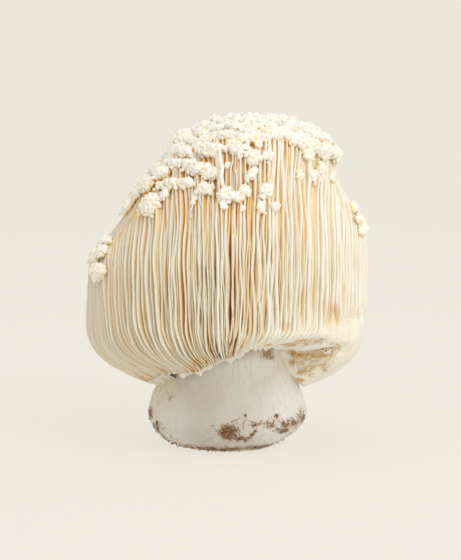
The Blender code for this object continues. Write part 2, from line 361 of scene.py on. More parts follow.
def make_group(name, inputs, outputs):
    """A group of nodes with named inputs and outputs: its tree, what it is given and what it gives."""
    tree = bpy.data.node_groups.new(name, "ShaderNodeTree")
    for label, value in inputs.items():
        socket = tree.interface.new_socket(label, in_out="INPUT", socket_type="NodeSocketFloat")
        socket.default_value = value
    for label, kind in outputs.items():
        tree.interface.new_socket(label, in_out="OUTPUT", socket_type="NodeSocket" + kind)
    return tree, tree.nodes.new("NodeGroupInput").outputs, tree.nodes.new("NodeGroupOutput").inputs


def use_group(tree, group, inputs):
    """The outputs of a group placed in a material, with the material's own values."""
    return add_node(tree, "ShaderNodeGroup", inputs, node_tree=group).outputs


def make_fibre_group():
    """Fine fibres that run up and down, as on torn or stretched fungus flesh."""
    tree, given, result = make_group(
        "flesh fibres",
        {"Across": 900.0, "Along": 60.0, "Depth": 0.1},
        {"Streak": "Float", "Cloud": "Float", "Fine": "Float", "Height": "Float"},
    )
    place = own_place(tree)
    sizes = {"X": given["Across"], "Y": given["Across"], "Z": given["Along"]}
    stretch = add_node(tree, "ShaderNodeCombineXYZ", sizes).outputs[0]
    stretched = add_node(tree, "ShaderNodeVectorMath", {0: place, 1: stretch}, operation="MULTIPLY")
    streak = noise_at(tree, stretched.outputs[0], 1.0, 3.0)
    fine = noise_at(tree, place, 1400.0, 2.0)
    height = plus(tree, streak, times(tree, fine, 0.4))
    feed(tree, result["Streak"], streak)
    feed(tree, result["Cloud"], noise_at(tree, place, 70.0, 3.0))
    feed(tree, result["Fine"], fine)
    feed(tree, result["Height"], times(tree, height, given["Depth"]))
    return tree


def make_soil_group():
    """Dark crumbs of soil pressed into flesh, dense where the amount is high."""
    outputs = {"Cover": "Float", "Color": "Color"}
    tree, given, result = make_group("soil stain", {"Amount": 0.0}, outputs)
    place = own_place(tree)
    crumbs = noise_at(tree, place, 1700.0, 3.0)
    clods = add_node(tree, "ShaderNodeTexVoronoi", {"Vector": place, "Scale": 1300.0})
    rough = centred(tree, noise_at(tree, place, 430.0, 4.0), 1.9)
    amount = plus(tree, given["Amount"], plus(tree, rough, centred(tree, crumbs, 2.8)))
    shown = ranged(tree, given["Amount"], 0.03, 0.25)
    tone = plus(tree, clods.outputs["Distance"], crumbs)
    dark = mixed(tree, ranged(tree, tone, 0.6, 1.15), seen(62, 40, 24), seen(150, 116, 80))
    thin = ranged(tree, given["Amount"], 0.25, 0.8)
    feed(tree, result["Cover"], times(tree, ranged(tree, amount, 0.32, 0.9), shown))
    feed(tree, result["Color"], mixed(tree, thin, seen(170, 140, 104), dark))
    return tree


def shaded(name, settings):
    """A new material with its shader's settings: itself, its tree and its shader."""
    material = bpy.data.materials.new(name)
    material.use_nodes = True
    shader = material.node_tree.nodes["Principled BSDF"]
    for label, value in settings.items():
        shader.inputs[label].default_value = value
    return material, material.node_tree, shader


def new_material(name, roughness, translucence):
    """A material for damp pale flesh."""
    settings = {
        "Roughness": roughness,
        "Specular IOR Level": 0.3,
        "Subsurface Weight": translucence,
        "Subsurface Radius": (1.0, 0.55, 0.28),
        "Subsurface Scale": 1.4 * MILLIMETRE,
    }
    return shaded(name, settings)


def finish_surface(tree, shader, colour, height, depth):
    """Give a shader its colour, and a surface shaped by a height of up to a depth in millimetres."""
    inputs = {"Height": height, "Strength": 1.0, "Distance": depth * MILLIMETRE}
    feed(tree, shader.inputs["Base Color"], colour)
    feed(tree, shader.inputs["Normal"], add_node(tree, "ShaderNodeBump", inputs).outputs["Normal"])


flesh_fibres = make_fibre_group()
soil_stain = make_soil_group()


def stem_surface(angle, height, radius):
    """Points of the stem's side with its lumps, its worn right foot and its leaning neck."""
    outwards = outwards_at(angle)
    edge_height = STEM_OUTLINE[1][0]
    worn = STEM_TRIM * np.maximum(outwards[..., 0], 0.0) * np.exp(-height / STEM_TRIM_HEIGHT)
    worn = worn * fade(height, 0.0, edge_height)
    place = outwards * radius[..., None]
    place[..., 2] = height
    lumps = STEM_LUMPS * wobble(place, STEM_LUMP_SIZE) * fade(height, 0.0, STEM_LUMPS_START)
    rim = hump(height, *STEM_RIM) * fade(height, 0.0, 1.0)
    lumps = lumps + STEM_RIM_LUMPS * wobble(place, STEM_RIM_LUMP_SIZE) * (STEM_RIM_LEAST + rim)
    furrows = points_at(
        np.sin(angle) * STEM_FIBRES / 2.0, np.cos(angle) * STEM_FIBRES / 2.0, height / STEM_FIBRE_LENGTH
    )
    lumps = lumps + STEM_FIBRE * wobble(furrows, 1.0) * fade(height, *STEM_FIBRES_START)
    point = outwards * (radius - worn + lumps)[..., None]
    point[..., 2] = height + JOINT_SLOPE * point[..., 0] * fade(height, *STEM_NECK)
    return point


def stem_rows():
    """The stem's rows of points, from the middle of its flat cut up its side to the cap."""
    angle = full_turn(STEM_COLUMNS)
    cut_radius = STEM_OUTLINE[0][1]
    rows = [outwards_at(angle) * cut_radius * (k + 0.2) / STEM_CUT_ROWS for k in range(STEM_CUT_ROWS)]
    height, radius = along(STEM_OUTLINE, shares(STEM_ROWS))
    angles = np.broadcast_to(angle, (STEM_ROWS, STEM_COLUMNS))
    heights = np.broadcast_to(height[:, None], angles.shape)
    radii = np.broadcast_to(radius[:, None], angles.shape)
    rows.extend(stem_surface(angles, heights, radii))
    joint = outwards_at(angle) * JOINT_RADIUS
    joint[:, 2] = joint_height(joint[:, 0])
    rows.append(joint)
    return np.array(rows)


def soil_on_stem(points):
    """How soiled the stem is: in marks, along the foot's edge and rubbed into the foot."""
    soil = np.maximum(marked(points, SOIL_MARKS), marked(points, BACK_SOIL_MARKS, False))
    patches = 0.5 + 0.5 * wobble(points, SOILED_EDGE_PATCHES)
    least, more = SOILED_EDGE_SHARES
    soil = np.maximum(soil, hump(points[..., 2], *SOILED_EDGE) * (least + more * patches))
    least, more = SOILED_FOOT_SHARES
    rubbed = least + more * fade(np.abs(points[..., 0]), *SOILED_FOOT_SIDES)
    rubbed = rubbed * hump(points[..., 2], 0.0, SOILED_FOOT)
    return np.maximum(soil, rubbed * (1.0 + wobble(points, SOILED_FOOT_PATCHES)))


def painted_light_on_stem(points):
    """Painted light on the stem: how much it is paled up under the cap and to both sides."""
    pale = fade(points[..., 2], *STEM_LIT_TOP)
    for most, begins, full in STEM_LIT_SIDES:
        pale = np.maximum(pale, most * fade(points[..., 0], begins, full))
    return pale


def make_stem_material():
    """Greyish beige flesh with fine upright fibres, ochre bruises, soil on the foot, and painted light up
    under the cap and on both sides.
    """
    material, tree, shader = new_material("stem flesh", 0.72, 0.15)
    fibres = use_group(tree, flesh_fibres, {"Across": 1000.0, "Along": 22.0, "Depth": 1.0})
    grey = (seen(194, 189, 178), seen(203, 199, 189))
    colour = mixed(tree, ranged(tree, fibres["Cloud"], 0.3, 0.7), *grey)
    # painted light: the pale mark lightens the stem up under the cap and on its sides
    colour = mixed(tree, mark_of(tree, "pale"), colour, seen(234, 232, 226))
    streak = ranged(tree, fibres["Streak"], 0.42, 0.78, 0.0, 0.3)
    colour = mixed(tree, streak, colour, seen(192, 182, 164))
    blotch = plus(tree, centred(tree, fibres["Streak"]), centred(tree, fibres["Fine"]))
    blotch = times(tree, blotch, 1.6)
    stain = ranged(tree, plus(tree, mark_of(tree, "stain"), blotch), 0.3, 1.0, 0.0, 0.85)
    stain = times(tree, stain, ranged(tree, mark_of(tree, "stain"), 0.03, 0.2))
    colour = mixed(tree, stain, colour, seen(172, 138, 94))
    soil = use_group(tree, soil_stain, {"Amount": mark_of(tree, "soil")})
    colour = mixed(tree, soil["Cover"], colour, soil["Color"])
    feed(tree, shader.inputs["Roughness"], ranged(tree, soil["Cover"], 0.0, 1.0, 0.68, 0.92))
    finish_surface(tree, shader, colour, plus(tree, fibres["Height"], soil["Cover"]), 0.12)
    return material


stem_points = stem_rows()
stem_soil = soil_on_stem(stem_points)
stem_flesh = make_grid_piece(
    "stem_flesh",
    stem_points[None],
    {
        "soil": stem_soil,
        "stain": marked(stem_points, STAIN_MARKS),
        # pale: painted light, not paler flesh
        "pale": painted_light_on_stem(stem_points),
    },
    make_stem_material(),
)
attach(stem_flesh, "root")
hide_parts("stem")


# ---------------------------------------------------------------------------------------------
# Soil on the stem: crumbs of the block it grew from, stuck to the foot, and a few fine brown
# threads of its own that still hold some of them.

GRAINS = 1700
GRAIN_RADIUS = (0.09, 0.36)
GRAIN_SPREAD = 0.25
GRAIN_SOIL = 0.36  # how much soil a spot needs before crumbs stick to it
THREADS = (  # as seen from the front: (right, up, length, direction in degrees)
    (6.6, 11.0, 5.5, -98.0), (3.1, 7.7, 5.5, -65.0), (1.0, 9.0, 4.0, 20.0), (7.7, 9.3, 6.0, -15.0),
    (8.5, 7.5, 6.0, 10.0), (9.5, 6.4, 5.0, 40.0), (13.2, 7.0, 5.0, 2.0), (15.5, 10.8, 4.5, -92.0),
    (17.0, 11.2, 4.5, -80.0), (19.0, 9.7, 5.0, -35.0), (21.0, 9.8, 4.5, -62.0), (23.5, 9.5, 4.0, -118.0),
    (21.0, 6.2, 5.0, 38.0), (25.5, 9.8, 4.0, -108.0), (27.2, 10.8, 4.0, -100.0), (6.8, 1.8, 5.6, 44.0),
)
THREAD_RADIUS = 0.14
THREAD_BEND = 0.9
THREAD_SMOOTHINGS = 3
STEM_FRONT = -4.0  # the stem's points are on its front where they lie before this
THREAD_POINTS = 28
THREAD_SIDES = 6


def twenty_sided():
    """The corners and faces of a twenty-sided grain."""
    g = (1.0 + math.sqrt(5.0)) / 2.0
    corners = [(-1, g, 0), (1, g, 0), (-1, -g, 0), (1, -g, 0), (0, -1, g), (0, 1, g)]
    corners += [(0, -1, -g), (0, 1, -g), (g, 0, -1), (g, 0, 1), (-g, 0, -1), (-g, 0, 1)]
    faces = [(0, 11, 5), (0, 5, 1), (0, 1, 7), (0, 7, 10), (0, 10, 11), (1, 5, 9), (5, 11, 4)]
    faces += [(11, 10, 2), (10, 7, 6), (7, 1, 8), (3, 9, 4), (3, 4, 2), (3, 2, 6), (3, 6, 8)]
    faces += [(3, 8, 9), (4, 9, 5), (2, 4, 11), (6, 2, 10), (8, 6, 7), (9, 8, 1)]
    return np.array(corners) / math.hypot(1.0, g), np.array(faces)


def make_grains(name, places, radii, generator, marks, material):
    """Many small rough grains in one mesh, at places and with radii in millimetres."""
    corners, faces = twenty_sided()
    count = len(places)
    squash = generator.uniform(0.6, 1.25, (count, 1, 3))
    jitter = generator.uniform(0.8, 1.2, (count, len(corners), 1))
    points = corners[None] * squash * jitter * np.asarray(radii)[:, None, None]
    points = points + np.asarray(places)[:, None, :]
    shifts = np.arange(count)[:, None, None] * len(corners)
    triangles = (faces[None] + shifts).reshape(-1, 3)
    marks = {mark: np.repeat(values, len(corners)) for mark, values in marks.items()}
    return make_piece(name, points, np.empty((0, 4), int), triangles, None, marks, material)


def make_tubes(name, centres, radii, sides, marks, material):
    """Round threads in one mesh: centres are count by rows by 3, radii count by rows."""
    ahead = unit(np.gradient(centres, axis=1))
    across = unit(np.cross(ahead, (0.13, 0.97, 0.21)))
    beside = np.cross(ahead, across)
    turn = full_turn(sides)
    ring = across[:, :, None] * np.cos(turn)[:, None] + beside[:, :, None] * np.sin(turn)[:, None]
    points = centres[:, :, None] + ring * radii[:, :, None, None]
    marks = {mark: np.repeat(values.ravel(), sides) for mark, values in marks.items()}
    return make_grid_piece(name, points, marks, material)


def make_soil_material():
    """Crumbs of dark, dry soil."""
    material, tree, shader = new_material("soil crumbs", 0.95, 0.0)
    grit = noise_at(tree, own_place(tree), 2600.0, 2.0)
    colour = mixed(tree, mark_of(tree, "tone"), seen(58, 40, 26), seen(146, 112, 76))
    colour = mixed(tree, ranged(tree, grit, 0.45, 0.7), colour, seen(168, 138, 100))
    finish_surface(tree, shader, colour, grit, 0.08)
    return material


def make_thread_material():
    """Fine ochre-brown threads, darker where soil clings to them."""
    material, tree, shader = new_material("brown threads", 0.8, 0.1)
    soil = use_group(tree, soil_stain, {"Amount": 0.5})
    colour = mixed(tree, soil["Cover"], seen(186, 150, 104), seen(122, 88, 54))
    feed(tree, shader.inputs["Base Color"], colour)
    return material


def stem_side_at(right, up):
    """The points of the stem's front that are seen at places in the view."""
    front = stem_points.reshape(-1, 3)
    front = front[front[:, 1] < STEM_FRONT]
    across, height = seen_from_front(front)
    nearest = [np.argmin((across - r) ** 2 + (height - u) ** 2) for r, u in zip(right, up)]
    return front[nearest]


def scatter_grains():
    """Crumbs where the stem is soiled: their places, radii and tones."""
    generator = np.random.default_rng(23)
    places = stem_points.reshape(-1, 3)
    soil = stem_soil.ravel() * (places[:, 2] > 0.3)
    chance = np.clip(soil - GRAIN_SOIL, 0.0, None) ** 1.2
    chosen = generator.choice(len(places), GRAINS, p=chance / chance.sum())
    radii = between(GRAIN_RADIUS, generator.random(GRAINS) ** 3)
    resting = places[chosen] + generator.normal(0.0, GRAIN_SPREAD, (GRAINS, 3))
    resting[:, 2] = np.maximum(resting[:, 2], 1.5 * radii)
    return resting, radii, generator.random(GRAINS), generator


def thread_lines():
    """The middle lines of the brown threads, laid along the stem's surface."""
    lines = []
    steps = shares(THREAD_POINTS)
    for number, (right, up, length, degrees) in enumerate(THREADS):
        heading = math.radians(degrees)
        bend = THREAD_BEND * wobble(points_at(steps * 3.0, number * 5.0, 0.0), 1.0)
        line = stem_side_at(
            right + length * steps * math.cos(heading) - bend * math.sin(heading),
            up + length * steps * math.sin(heading) + bend * math.cos(heading),
        )
        for _ in range(THREAD_SMOOTHINGS):
            line[1:-1] = (line[:-2] + line[1:-1] * 2.0 + line[2:]) / 4.0
        lines.append(line + outwards_at(np.arctan2(line[:, 0], -line[:, 1])) * 0.08)
    return np.array(lines)


grain_places, grain_radii, grain_tones, grain_generator = scatter_grains()
stem_soil_crumbs = make_grains(
    "stem_soil_crumbs",
    grain_places,
    grain_radii,
    grain_generator,
    {"tone": grain_tones},
    make_soil_material(),
)
thread_centres = thread_lines()
thread_taper = np.sin(np.linspace(0.15, math.pi - 0.1, THREAD_POINTS)) ** 0.5
stem_threads = make_tubes(
    "stem_threads",
    thread_centres,
    np.broadcast_to(THREAD_RADIUS * thread_taper, thread_centres.shape[:2]),
    THREAD_SIDES,
    {},
    make_thread_material(),
)
for piece in (stem_soil_crumbs, stem_threads):
    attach(piece, "root")
    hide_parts("stem")


# ---------------------------------------------------------------------------------------------
# The cap's flesh: the spongy head that all the spines grow from. It shows between them as a ground
# painted in warm dark shade, and as bare fibrous flesh under the right side, where the curtain is torn
# away.

CAP_OUTLINE = (  # from the belly to the top of the crown: (height, half width, shift right)
    (50.5, 54.6, -0.6), (63.5, 53.8, 0.0), (74.5, 52.6, 1.0), (83.5, 48.4, 4.2), (92.5, 43.6, 5.2),
    (101.5, 38.2, 5.4), (109.5, 32.8, 8.6), (116.0, 29.4, 9.4), (121.0, 22.5, 9.6), (123.9, 12.5, 9.6),
    (124.9, 0.0, 9.6),
)
BELLY_HEIGHT, BELLY_WIDTH, BELLY_SHIFT = CAP_OUTLINE[0]
CAP_DEPTH_SHARE = 0.94
CAP_SWELL = 1.2
CAP_SWELL_SIZE = 30.0
LIP_HEIGHTS = (  # at even steps around from the front
    38.0, 41.5, 40.0, 27.0, 22.0, 23.5, 26.0, 27.5, 28.0, 27.5, 26.5, 25.5, 24.5, 27.0, 31.0, 32.5
)
LIP_RADIUS = 30.5
CURTAIN_ROUNDING = 3.0
TORN_FROM = 34.0  # degrees round to the right from the front
TORN_TO = 122.0
TORN_HEIGHT = 41.5
TORN_HEIGHT_EDGE = 2.0
TORN_RAGGED = 1.3  # how far the tear's edge rises and falls
TORN_DEPTH = 4.2
TORN_DEPTH_KEPT = 0.3
TORN_ROUGHNESS = 0.9
TORN_ROUGH_SIZE = 6.0
TORN_EDGE = 9.0
TORN_GRAIN = ((0.7, 2.4), (0.4, 1.2))  # its finer roughness: (how deep, how wide)
TORN_SMOOTHER = (75.0, 52.0, 0.3)  # from and to which degrees it is rougher, and the least of it
TORN_SHALLOWER = (80.0, 52.0)  # from and to which degrees the tear gets its full depth
TORN_SOFTER = (50.0, 75.0, 5.0)  # from and to which degrees its top edge turns soft, and how much
TORN_BROWN = (30.0, 38.0, 44.0, 58.0)  # degrees: the brown starts, is full, still full, ends
TORN_BROWN_TOP = (40.0, 38.0)  # heights between which the brown sets in
TORN_FURROW = 0.8
TORN_FURROWS = 30.0  # furrows around, in noise cells a radian
MERGE_FROM = (2.0, 12.0)  # degrees between which the spines start to run together above the tear
MERGE_HEIGHTS = (56.5, 41.0)  # between these the spines run together above the tear
MERGE_LOWER = (20.0, 4.0, -5.0)  # from and to which degrees they do so lower, and how much
MERGE_SOONER = (26.0, 12.0, 2.0)  # degrees round and half width where they do so higher
MERGE_RAGGED = 6.0
MERGE_DEPTH = 0.4
MERGE_FOLDS = 26.0  # folds around in the smooth flesh, in noise cells a radian
GAPS_UNEVEN = ((0.12, 5.0), (0.12, 12.0))  # (share of the gaps' depth, how wide) it varies
FLESH_COLUMNS = 360
FLESH_ROWS_BELOW = 60
FLESH_ROWS_ABOVE = 56
FLESH_DEPTH = (  # how deep the flesh lies under the front spines' edges, from the lip to the crown
    1.2, 2.2, 3.4, 3.9, 4.0, 3.8, 3.2, 2.3, 1.3, 0.5, -0.4
)
GAP_DEPTH = (  # how deep the gaps are at even steps around, as a share of those at the front
    1.0, 0.78, 0.60, 0.50, 0.44, 0.52, 0.68, 0.76, 0.80, 0.78, 0.74, 0.62, 0.46, 0.42, 0.54, 0.84
)
GAP_PAINTED_SHADE = (  # painted shade: how brown the gaps between the spines are shaded, at the same steps
    0.84, 0.46, 0.22, 0.10, 0.05, 0.15, 0.35, 0.50, 0.56, 0.52, 0.46, 0.40, 0.30, 0.30, 0.42, 0.66
)
DEEPEST_GAP_SHADE = (1.0, 6.0, 0.6)  # degrees round and half width of the deepest painted shade in the gaps, and how much
DEEPEST_GAP_SHADE_BELOW = (98.0, 84.0)  # heights between which they turn so
CROWN_SHADE_HEIGHTS = (80.0, 98.0)  # heights between which painted warm shade turns the hollows orange
CROWN_SHADE_FADES = (115.0, 122.0, 0.3)  # and between which they fade again, and how much
CROWN_SHADE_MIDDLE = 4.0  # how far right of the axis the orange is centred
CROWN_PAINTED_SHADE = (  # how orange the painted shade in the crown's hollows is, at the same steps
    1.0, 0.62, 0.08, 0.0, 0.0, 0.15, 0.40, 0.50, 0.50, 0.50, 0.50, 0.55, 0.60, 0.70, 0.85, 1.0
)
UNDERSIDE = (  # rings from the lip in to the stem: (radius, height above the lip)
    (29.6, 0.5),
    (28.2, 1.5),
    (26.8, 2.0),
    (25.6, 1.7),
    (24.6, 1.6),
    (23.6, 4.5),
)
BRUISES = (  # brown marks on the flesh as seen from the front: (right, up, half sizes, strength)
    (25.2, 35.4, 1.6, 1.1, 1.2), (28.2, 34.8, 2.4, 0.9, 1.2), (31.8, 35.0, 2.4, 0.8, 1.0),
    (34.9, 36.2, 2.2, 0.8, 1.0), (37.6, 37.4, 1.8, 0.8, 1.0), (39.4, 38.0, 1.2, 0.6, 1.0),
    (36.2, 34.7, 3.0, 0.9, 0.85), (26.7, 34.4, 0.7, 1.4, 1.2), (24.8, 31.7, 0.7, 1.6, 1.2),
    (28.4, 31.2, 1.2, 0.7, 0.8), (31.2, 28.1, 2.6, 1.6, 0.6), (27.9, 28.0, 1.6, 0.9, 0.85),
    (28.1, 25.2, 1.4, 0.6, 1.0), (36.8, 30.8, 2.2, 1.4, 0.6), (15.4, 36.8, 1.7, 2.4, 1.7),
    (16.7, 33.7, 1.7, 1.4, 1.4), (41.0, 52.0, 2.0, 4.5, 0.6), (22.0, 46.0, 2.4, 2.4, 0.7),
)
TORN_SOIL = (  # flecks of soil on the torn flesh, as the bruises are listed
    (37.5, 29.6, 1.2, 2.6, 1.0),
    (33.0, 33.0, 3.0, 1.5, 0.7),
)
FILLET_DROP = 2.4  # how far the flesh runs down on to the stem on the front right
FILLET = (-4.0, 12.0, 28.0, 40.0)  # degrees: it starts, is full, still full, ends


def around(values, angle):
    """The smooth curve through values at even steps around a circle."""
    values = np.asarray(values, float)
    place = np.asarray(angle, float) / (2.0 * math.pi) * len(values) % len(values)
    first = place.astype(int)
    near = [values[(first + k) % len(values)] for k in (-1, 0, 1, 2)]
    return smooth_curve(*near, place - first)


def degrees_around(angle):
    """Angles in degrees from 0 to 360, growing to the right from the front."""
    return np.degrees(angle) % 360.0


def signed_degrees(degrees):
    """Degrees round from the front: right is positive, left is negative."""
    return (degrees + 180.0) % 360.0 - 180.0


def torn_share(angle):
    """1 where the curtain is torn away, 0 elsewhere."""
    edges = (TORN_FROM, TORN_FROM + TORN_EDGE, TORN_TO - TORN_EDGE, TORN_TO)
    return plateau(degrees_around(angle), *edges)


def merged_share(angle, height):
    """1 where the spines have run together into smooth flesh above the tear, 0 elsewhere."""
    turn = degrees_around(angle)
    wide = plateau(turn, *MERGE_FROM, TORN_TO - TORN_EDGE, TORN_TO)
    begins, full, raised = MERGE_LOWER
    shift = raised * fade(turn, begins, full)
    middle, half_width, raised = MERGE_SOONER
    shift = shift + raised * hump(turn, middle, half_width)
    folds = points_at(np.sin(angle) * 9.0, np.cos(angle) * 9.0, height / 14.0)
    return wide * fade(height - shift + MERGE_RAGGED * wobble(folds, 1.0), *MERGE_HEIGHTS)


def cap_round(angle, place):
    """Points of the cap's round form. Place is -1 at the lip, 0 at the belly and 1 on the crown."""
    angle, place = np.broadcast_arrays(np.asarray(angle, float), np.asarray(place, float))
    step = np.clip(-place, 0.0, 1.0)
    height, half_width, shift = along(CAP_OUTLINE, np.clip(place, 0.0, 1.0))
    height = height + step * (around(LIP_HEIGHTS, angle) - height)
    kept = 1.0 - step**CURTAIN_ROUNDING
    half_width = LIP_RADIUS * (1.0 - kept) + half_width * kept
    x = shift * kept + half_width * np.sin(angle)
    y = -half_width * CAP_DEPTH_SHARE * np.cos(angle)
    point = points_at(x, y, height)
    swell = CAP_SWELL * wobble(point, CAP_SWELL_SIZE)
    return point + outwards_at(angle) * swell[..., None]


def cap_frame(angle, place):
    """Points of the round form with the directions around, up the form, and square out of it."""
    nudge = 1e-3
    point = cap_round(angle, place)
    around_it = cap_round(angle + nudge, place) - cap_round(angle - nudge, place)
    upwards = cap_round(angle, np.minimum(place + nudge, 1.0)) - cap_round(angle, place - nudge)
    around_it = unit(around_it)
    upwards = unit(upwards)
    return point, around_it, upwards, unit(np.cross(around_it, upwards))


def flesh_depth(angle, place):
    """How deep the flesh lies under the spines' edges."""
    return around(GAP_DEPTH, angle) * along([(depth,) for depth in FLESH_DEPTH], (place + 1.0) / 2.0)[0]


def crown_painted_shade(points):
    """How strong the painted orange shade in the hollows of the crown is."""
    share = around(CROWN_PAINTED_SHADE, np.arctan2(points[..., 0] - CROWN_SHADE_MIDDLE, -points[..., 1]))
    begins, full, less = CROWN_SHADE_FADES
    paler = 1.0 - less * fade(points[..., 2], begins, full)
    return share * fade(points[..., 2], *CROWN_SHADE_HEIGHTS) * paler


def painted_gap_shade(angle, height):
    """How dark the painted shade in the gaps between the spines is."""
    middle, half_width, more = DEEPEST_GAP_SHADE
    away = signed_degrees(np.degrees(angle) - middle)
    deepest_shade = more * fade(height, *DEEPEST_GAP_SHADE_BELOW) * hump(away, 0.0, half_width)
    return (around(GAP_PAINTED_SHADE, angle) + deepest_shade) * (1.0 - merged_share(angle, height))


def flesh_surface(angle, place):
    """Points of the flesh under the spines, how torn they are, and how bare."""
    point, _, _, square = cap_frame(angle, place)
    turn = degrees_around(angle)
    height = point[..., 2] + TORN_RAGGED * wobble(point, 5.0)
    uneven = 1.0 + sum(share * wobble(point, size) for share, size in GAPS_UNEVEN)
    depth = flesh_depth(angle, place) * uneven
    folds = points_at(angle * MERGE_FOLDS, point[..., 2] / 22.0, 0.0)
    smooth = MERGE_DEPTH + 0.3 * wobble(point, 9.0) + 0.2 * wobble(folds, 1.0)
    merged = merged_share(angle, height)
    depth = depth + merged * (smooth - depth)
    begins, full, more = TORN_SOFTER
    soft = TORN_HEIGHT_EDGE + more * fade(turn, begins, full)
    torn = torn_share(angle) * fade(height, TORN_HEIGHT + 0.4 * soft, TORN_HEIGHT - 0.6 * soft)
    step = np.clip(-place, 0.0, 1.0)
    hollow = TORN_DEPTH * (1.0 - (1.0 - TORN_DEPTH_KEPT) * fade(step, 0.4, 0.8))
    hollow = between((MERGE_DEPTH, hollow), fade(turn, *TORN_SHALLOWER))
    furrows = points_at(angle * TORN_FURROWS, point[..., 2] / 14.0, 0.0)
    rough = TORN_ROUGHNESS * wobble(point, TORN_ROUGH_SIZE) + TORN_FURROW * wobble(furrows, 1.0)
    rough = rough + sum(deep * wobble(point, size) for deep, size in TORN_GRAIN)
    begins, full, least = TORN_SMOOTHER
    rough = rough * (least + (1.0 - least) * fade(turn, begins, full))
    depth = depth + torn * (hollow - rough - depth)
    bare = np.maximum(torn, fade(merged, 0.0, 0.35))
    return point - square * np.maximum(depth, -0.4)[..., None], torn, bare


def fillet_at(angle):
    """How far the flesh runs down on to the stem, 0 to 1."""
    return plateau(signed_degrees(np.degrees(angle)), *FILLET)


def underside_rows(angle):
    """Rows of points from inside the lip to the stem."""
    lip = around(LIP_HEIGHTS, angle)
    rows = []
    for radius, rise in UNDERSIDE:
        inwards = (UNDERSIDE[0][0] - radius) / (UNDERSIDE[0][0] - UNDERSIDE[-2][0])
        row = outwards_at(angle) * radius
        drop = FILLET_DROP * fillet_at(angle) * min(inwards, 1.0)
        row[:, 2] = lip + rise - drop
        row[:, 2] += 0.5 * wobble(row, 4.0)
        rows.append(row)
    rows[-1][:, 2] = JOINT_HEIGHT - 4.0
    return rows


def radial_streaks(tree):
    """Fine streaks that run down the cap and in under it to the stem."""
    place = own_place(tree)
    kind = "ShaderNodeVectorMath"
    level = add_node(tree, kind, {0: place, 1: (1.0, 1.0, 0.0)}, operation="MULTIPLY").outputs[0]
    toward = add_node(tree, kind, {0: level}, operation="NORMALIZE").outputs[0]
    spread = add_node(tree, kind, {0: toward, "Scale": 40.0}, operation="SCALE").outputs[0]
    radius = add_node(tree, kind, {0: level}, operation="LENGTH").outputs["Value"]
    height = add_node(tree, "ShaderNodeSeparateXYZ", {"Vector": place}).outputs["Z"]
    bend = noise_at(tree, place, 240.0, 2.0)
    down = plus(tree, times(tree, plus(tree, height, radius), 130.0), times(tree, bend, 2.0))
    shift = add_node(tree, "ShaderNodeCombineXYZ", {"X": bend, "Z": down}).outputs[0]
    bent = add_node(tree, kind, {0: spread, 1: shift}, operation="ADD").outputs[0]
    return noise_at(tree, bent, 1.0, 4.0)


def make_flesh_material():
    """Spongy flesh with painted shade, warm orange-brown deep between the spines, and tan where it is torn
    and bare.
    """
    material, tree, shader = new_material("cap flesh", 0.75, 0.15)
    fibres = use_group(tree, flesh_fibres, {"Across": 500.0, "Along": 110.0, "Depth": 1.0})
    streaks = radial_streaks(tree)
    # painted shade: the ground between the spines turns from pale to orange-brown by the gap mark
    gap = mark_of(tree, "gap")
    strand = ranged(tree, fibres["Streak"], 0.35, 0.7)
    light = mixed(tree, strand, seen(241, 225, 188), seen(245, 234, 208))
    brown = mixed(tree, strand, seen(216, 162, 74), seen(226, 182, 104))
    deep = mixed(tree, ranged(tree, gap, 0.12, 0.7), light, brown)
    deep = mixed(tree, ranged(tree, gap, 0.75, 1.2), deep, seen(184, 104, 12))
    # painted warm shade: orange in the crown's hollows, by the crown mark
    crown = mixed(tree, strand, seen(254, 196, 76), seen(254, 220, 142))
    deep = mixed(tree, mark_of(tree, "crown"), deep, crown)
    cloud = ranged(tree, fibres["Cloud"], 0.35, 0.65)
    pale = mixed(tree, cloud, seen(241, 236, 222), seen(246, 243, 233))
    pale = mixed(tree, ranged(tree, streaks, 0.48, 0.72, 0.0, 0.5), pale, seen(230, 210, 176))
    cloud = ranged(tree, fibres["Cloud"], 0.38, 0.62)
    beige = mixed(tree, cloud, seen(226, 206, 172), seen(208, 180, 138))
    tan = mixed(tree, ranged(tree, streaks, 0.36, 0.66, 0.0, 0.7), beige, seen(198, 164, 118))
    fleck = plus(tree, centred(tree, fibres["Fine"]), centred(tree, streaks))
    fleck = times(tree, fleck, ranged(tree, mark_of(tree, "brown"), 0.0, 0.3, 0.3, 1.1))
    browned = plus(tree, mark_of(tree, "brown"), fleck)
    bare = mixed(tree, ranged(tree, browned, 0.1, 0.4), pale, tan)
    bare = mixed(tree, ranged(tree, browned, 0.55, 1.05), bare, seen(186, 146, 96))
    bare = mixed(tree, ranged(tree, browned, 0.95, 1.5), bare, seen(128, 88, 50))
    colour = mixed(tree, mark_of(tree, "bare"), deep, bare)
    soil = use_group(tree, soil_stain, {"Amount": mark_of(tree, "soil")})
    colour = mixed(tree, soil["Cover"], colour, soil["Color"])
    finish_surface(tree, shader, colour, plus(tree, fibres["Height"], streaks), 0.25)
    return material


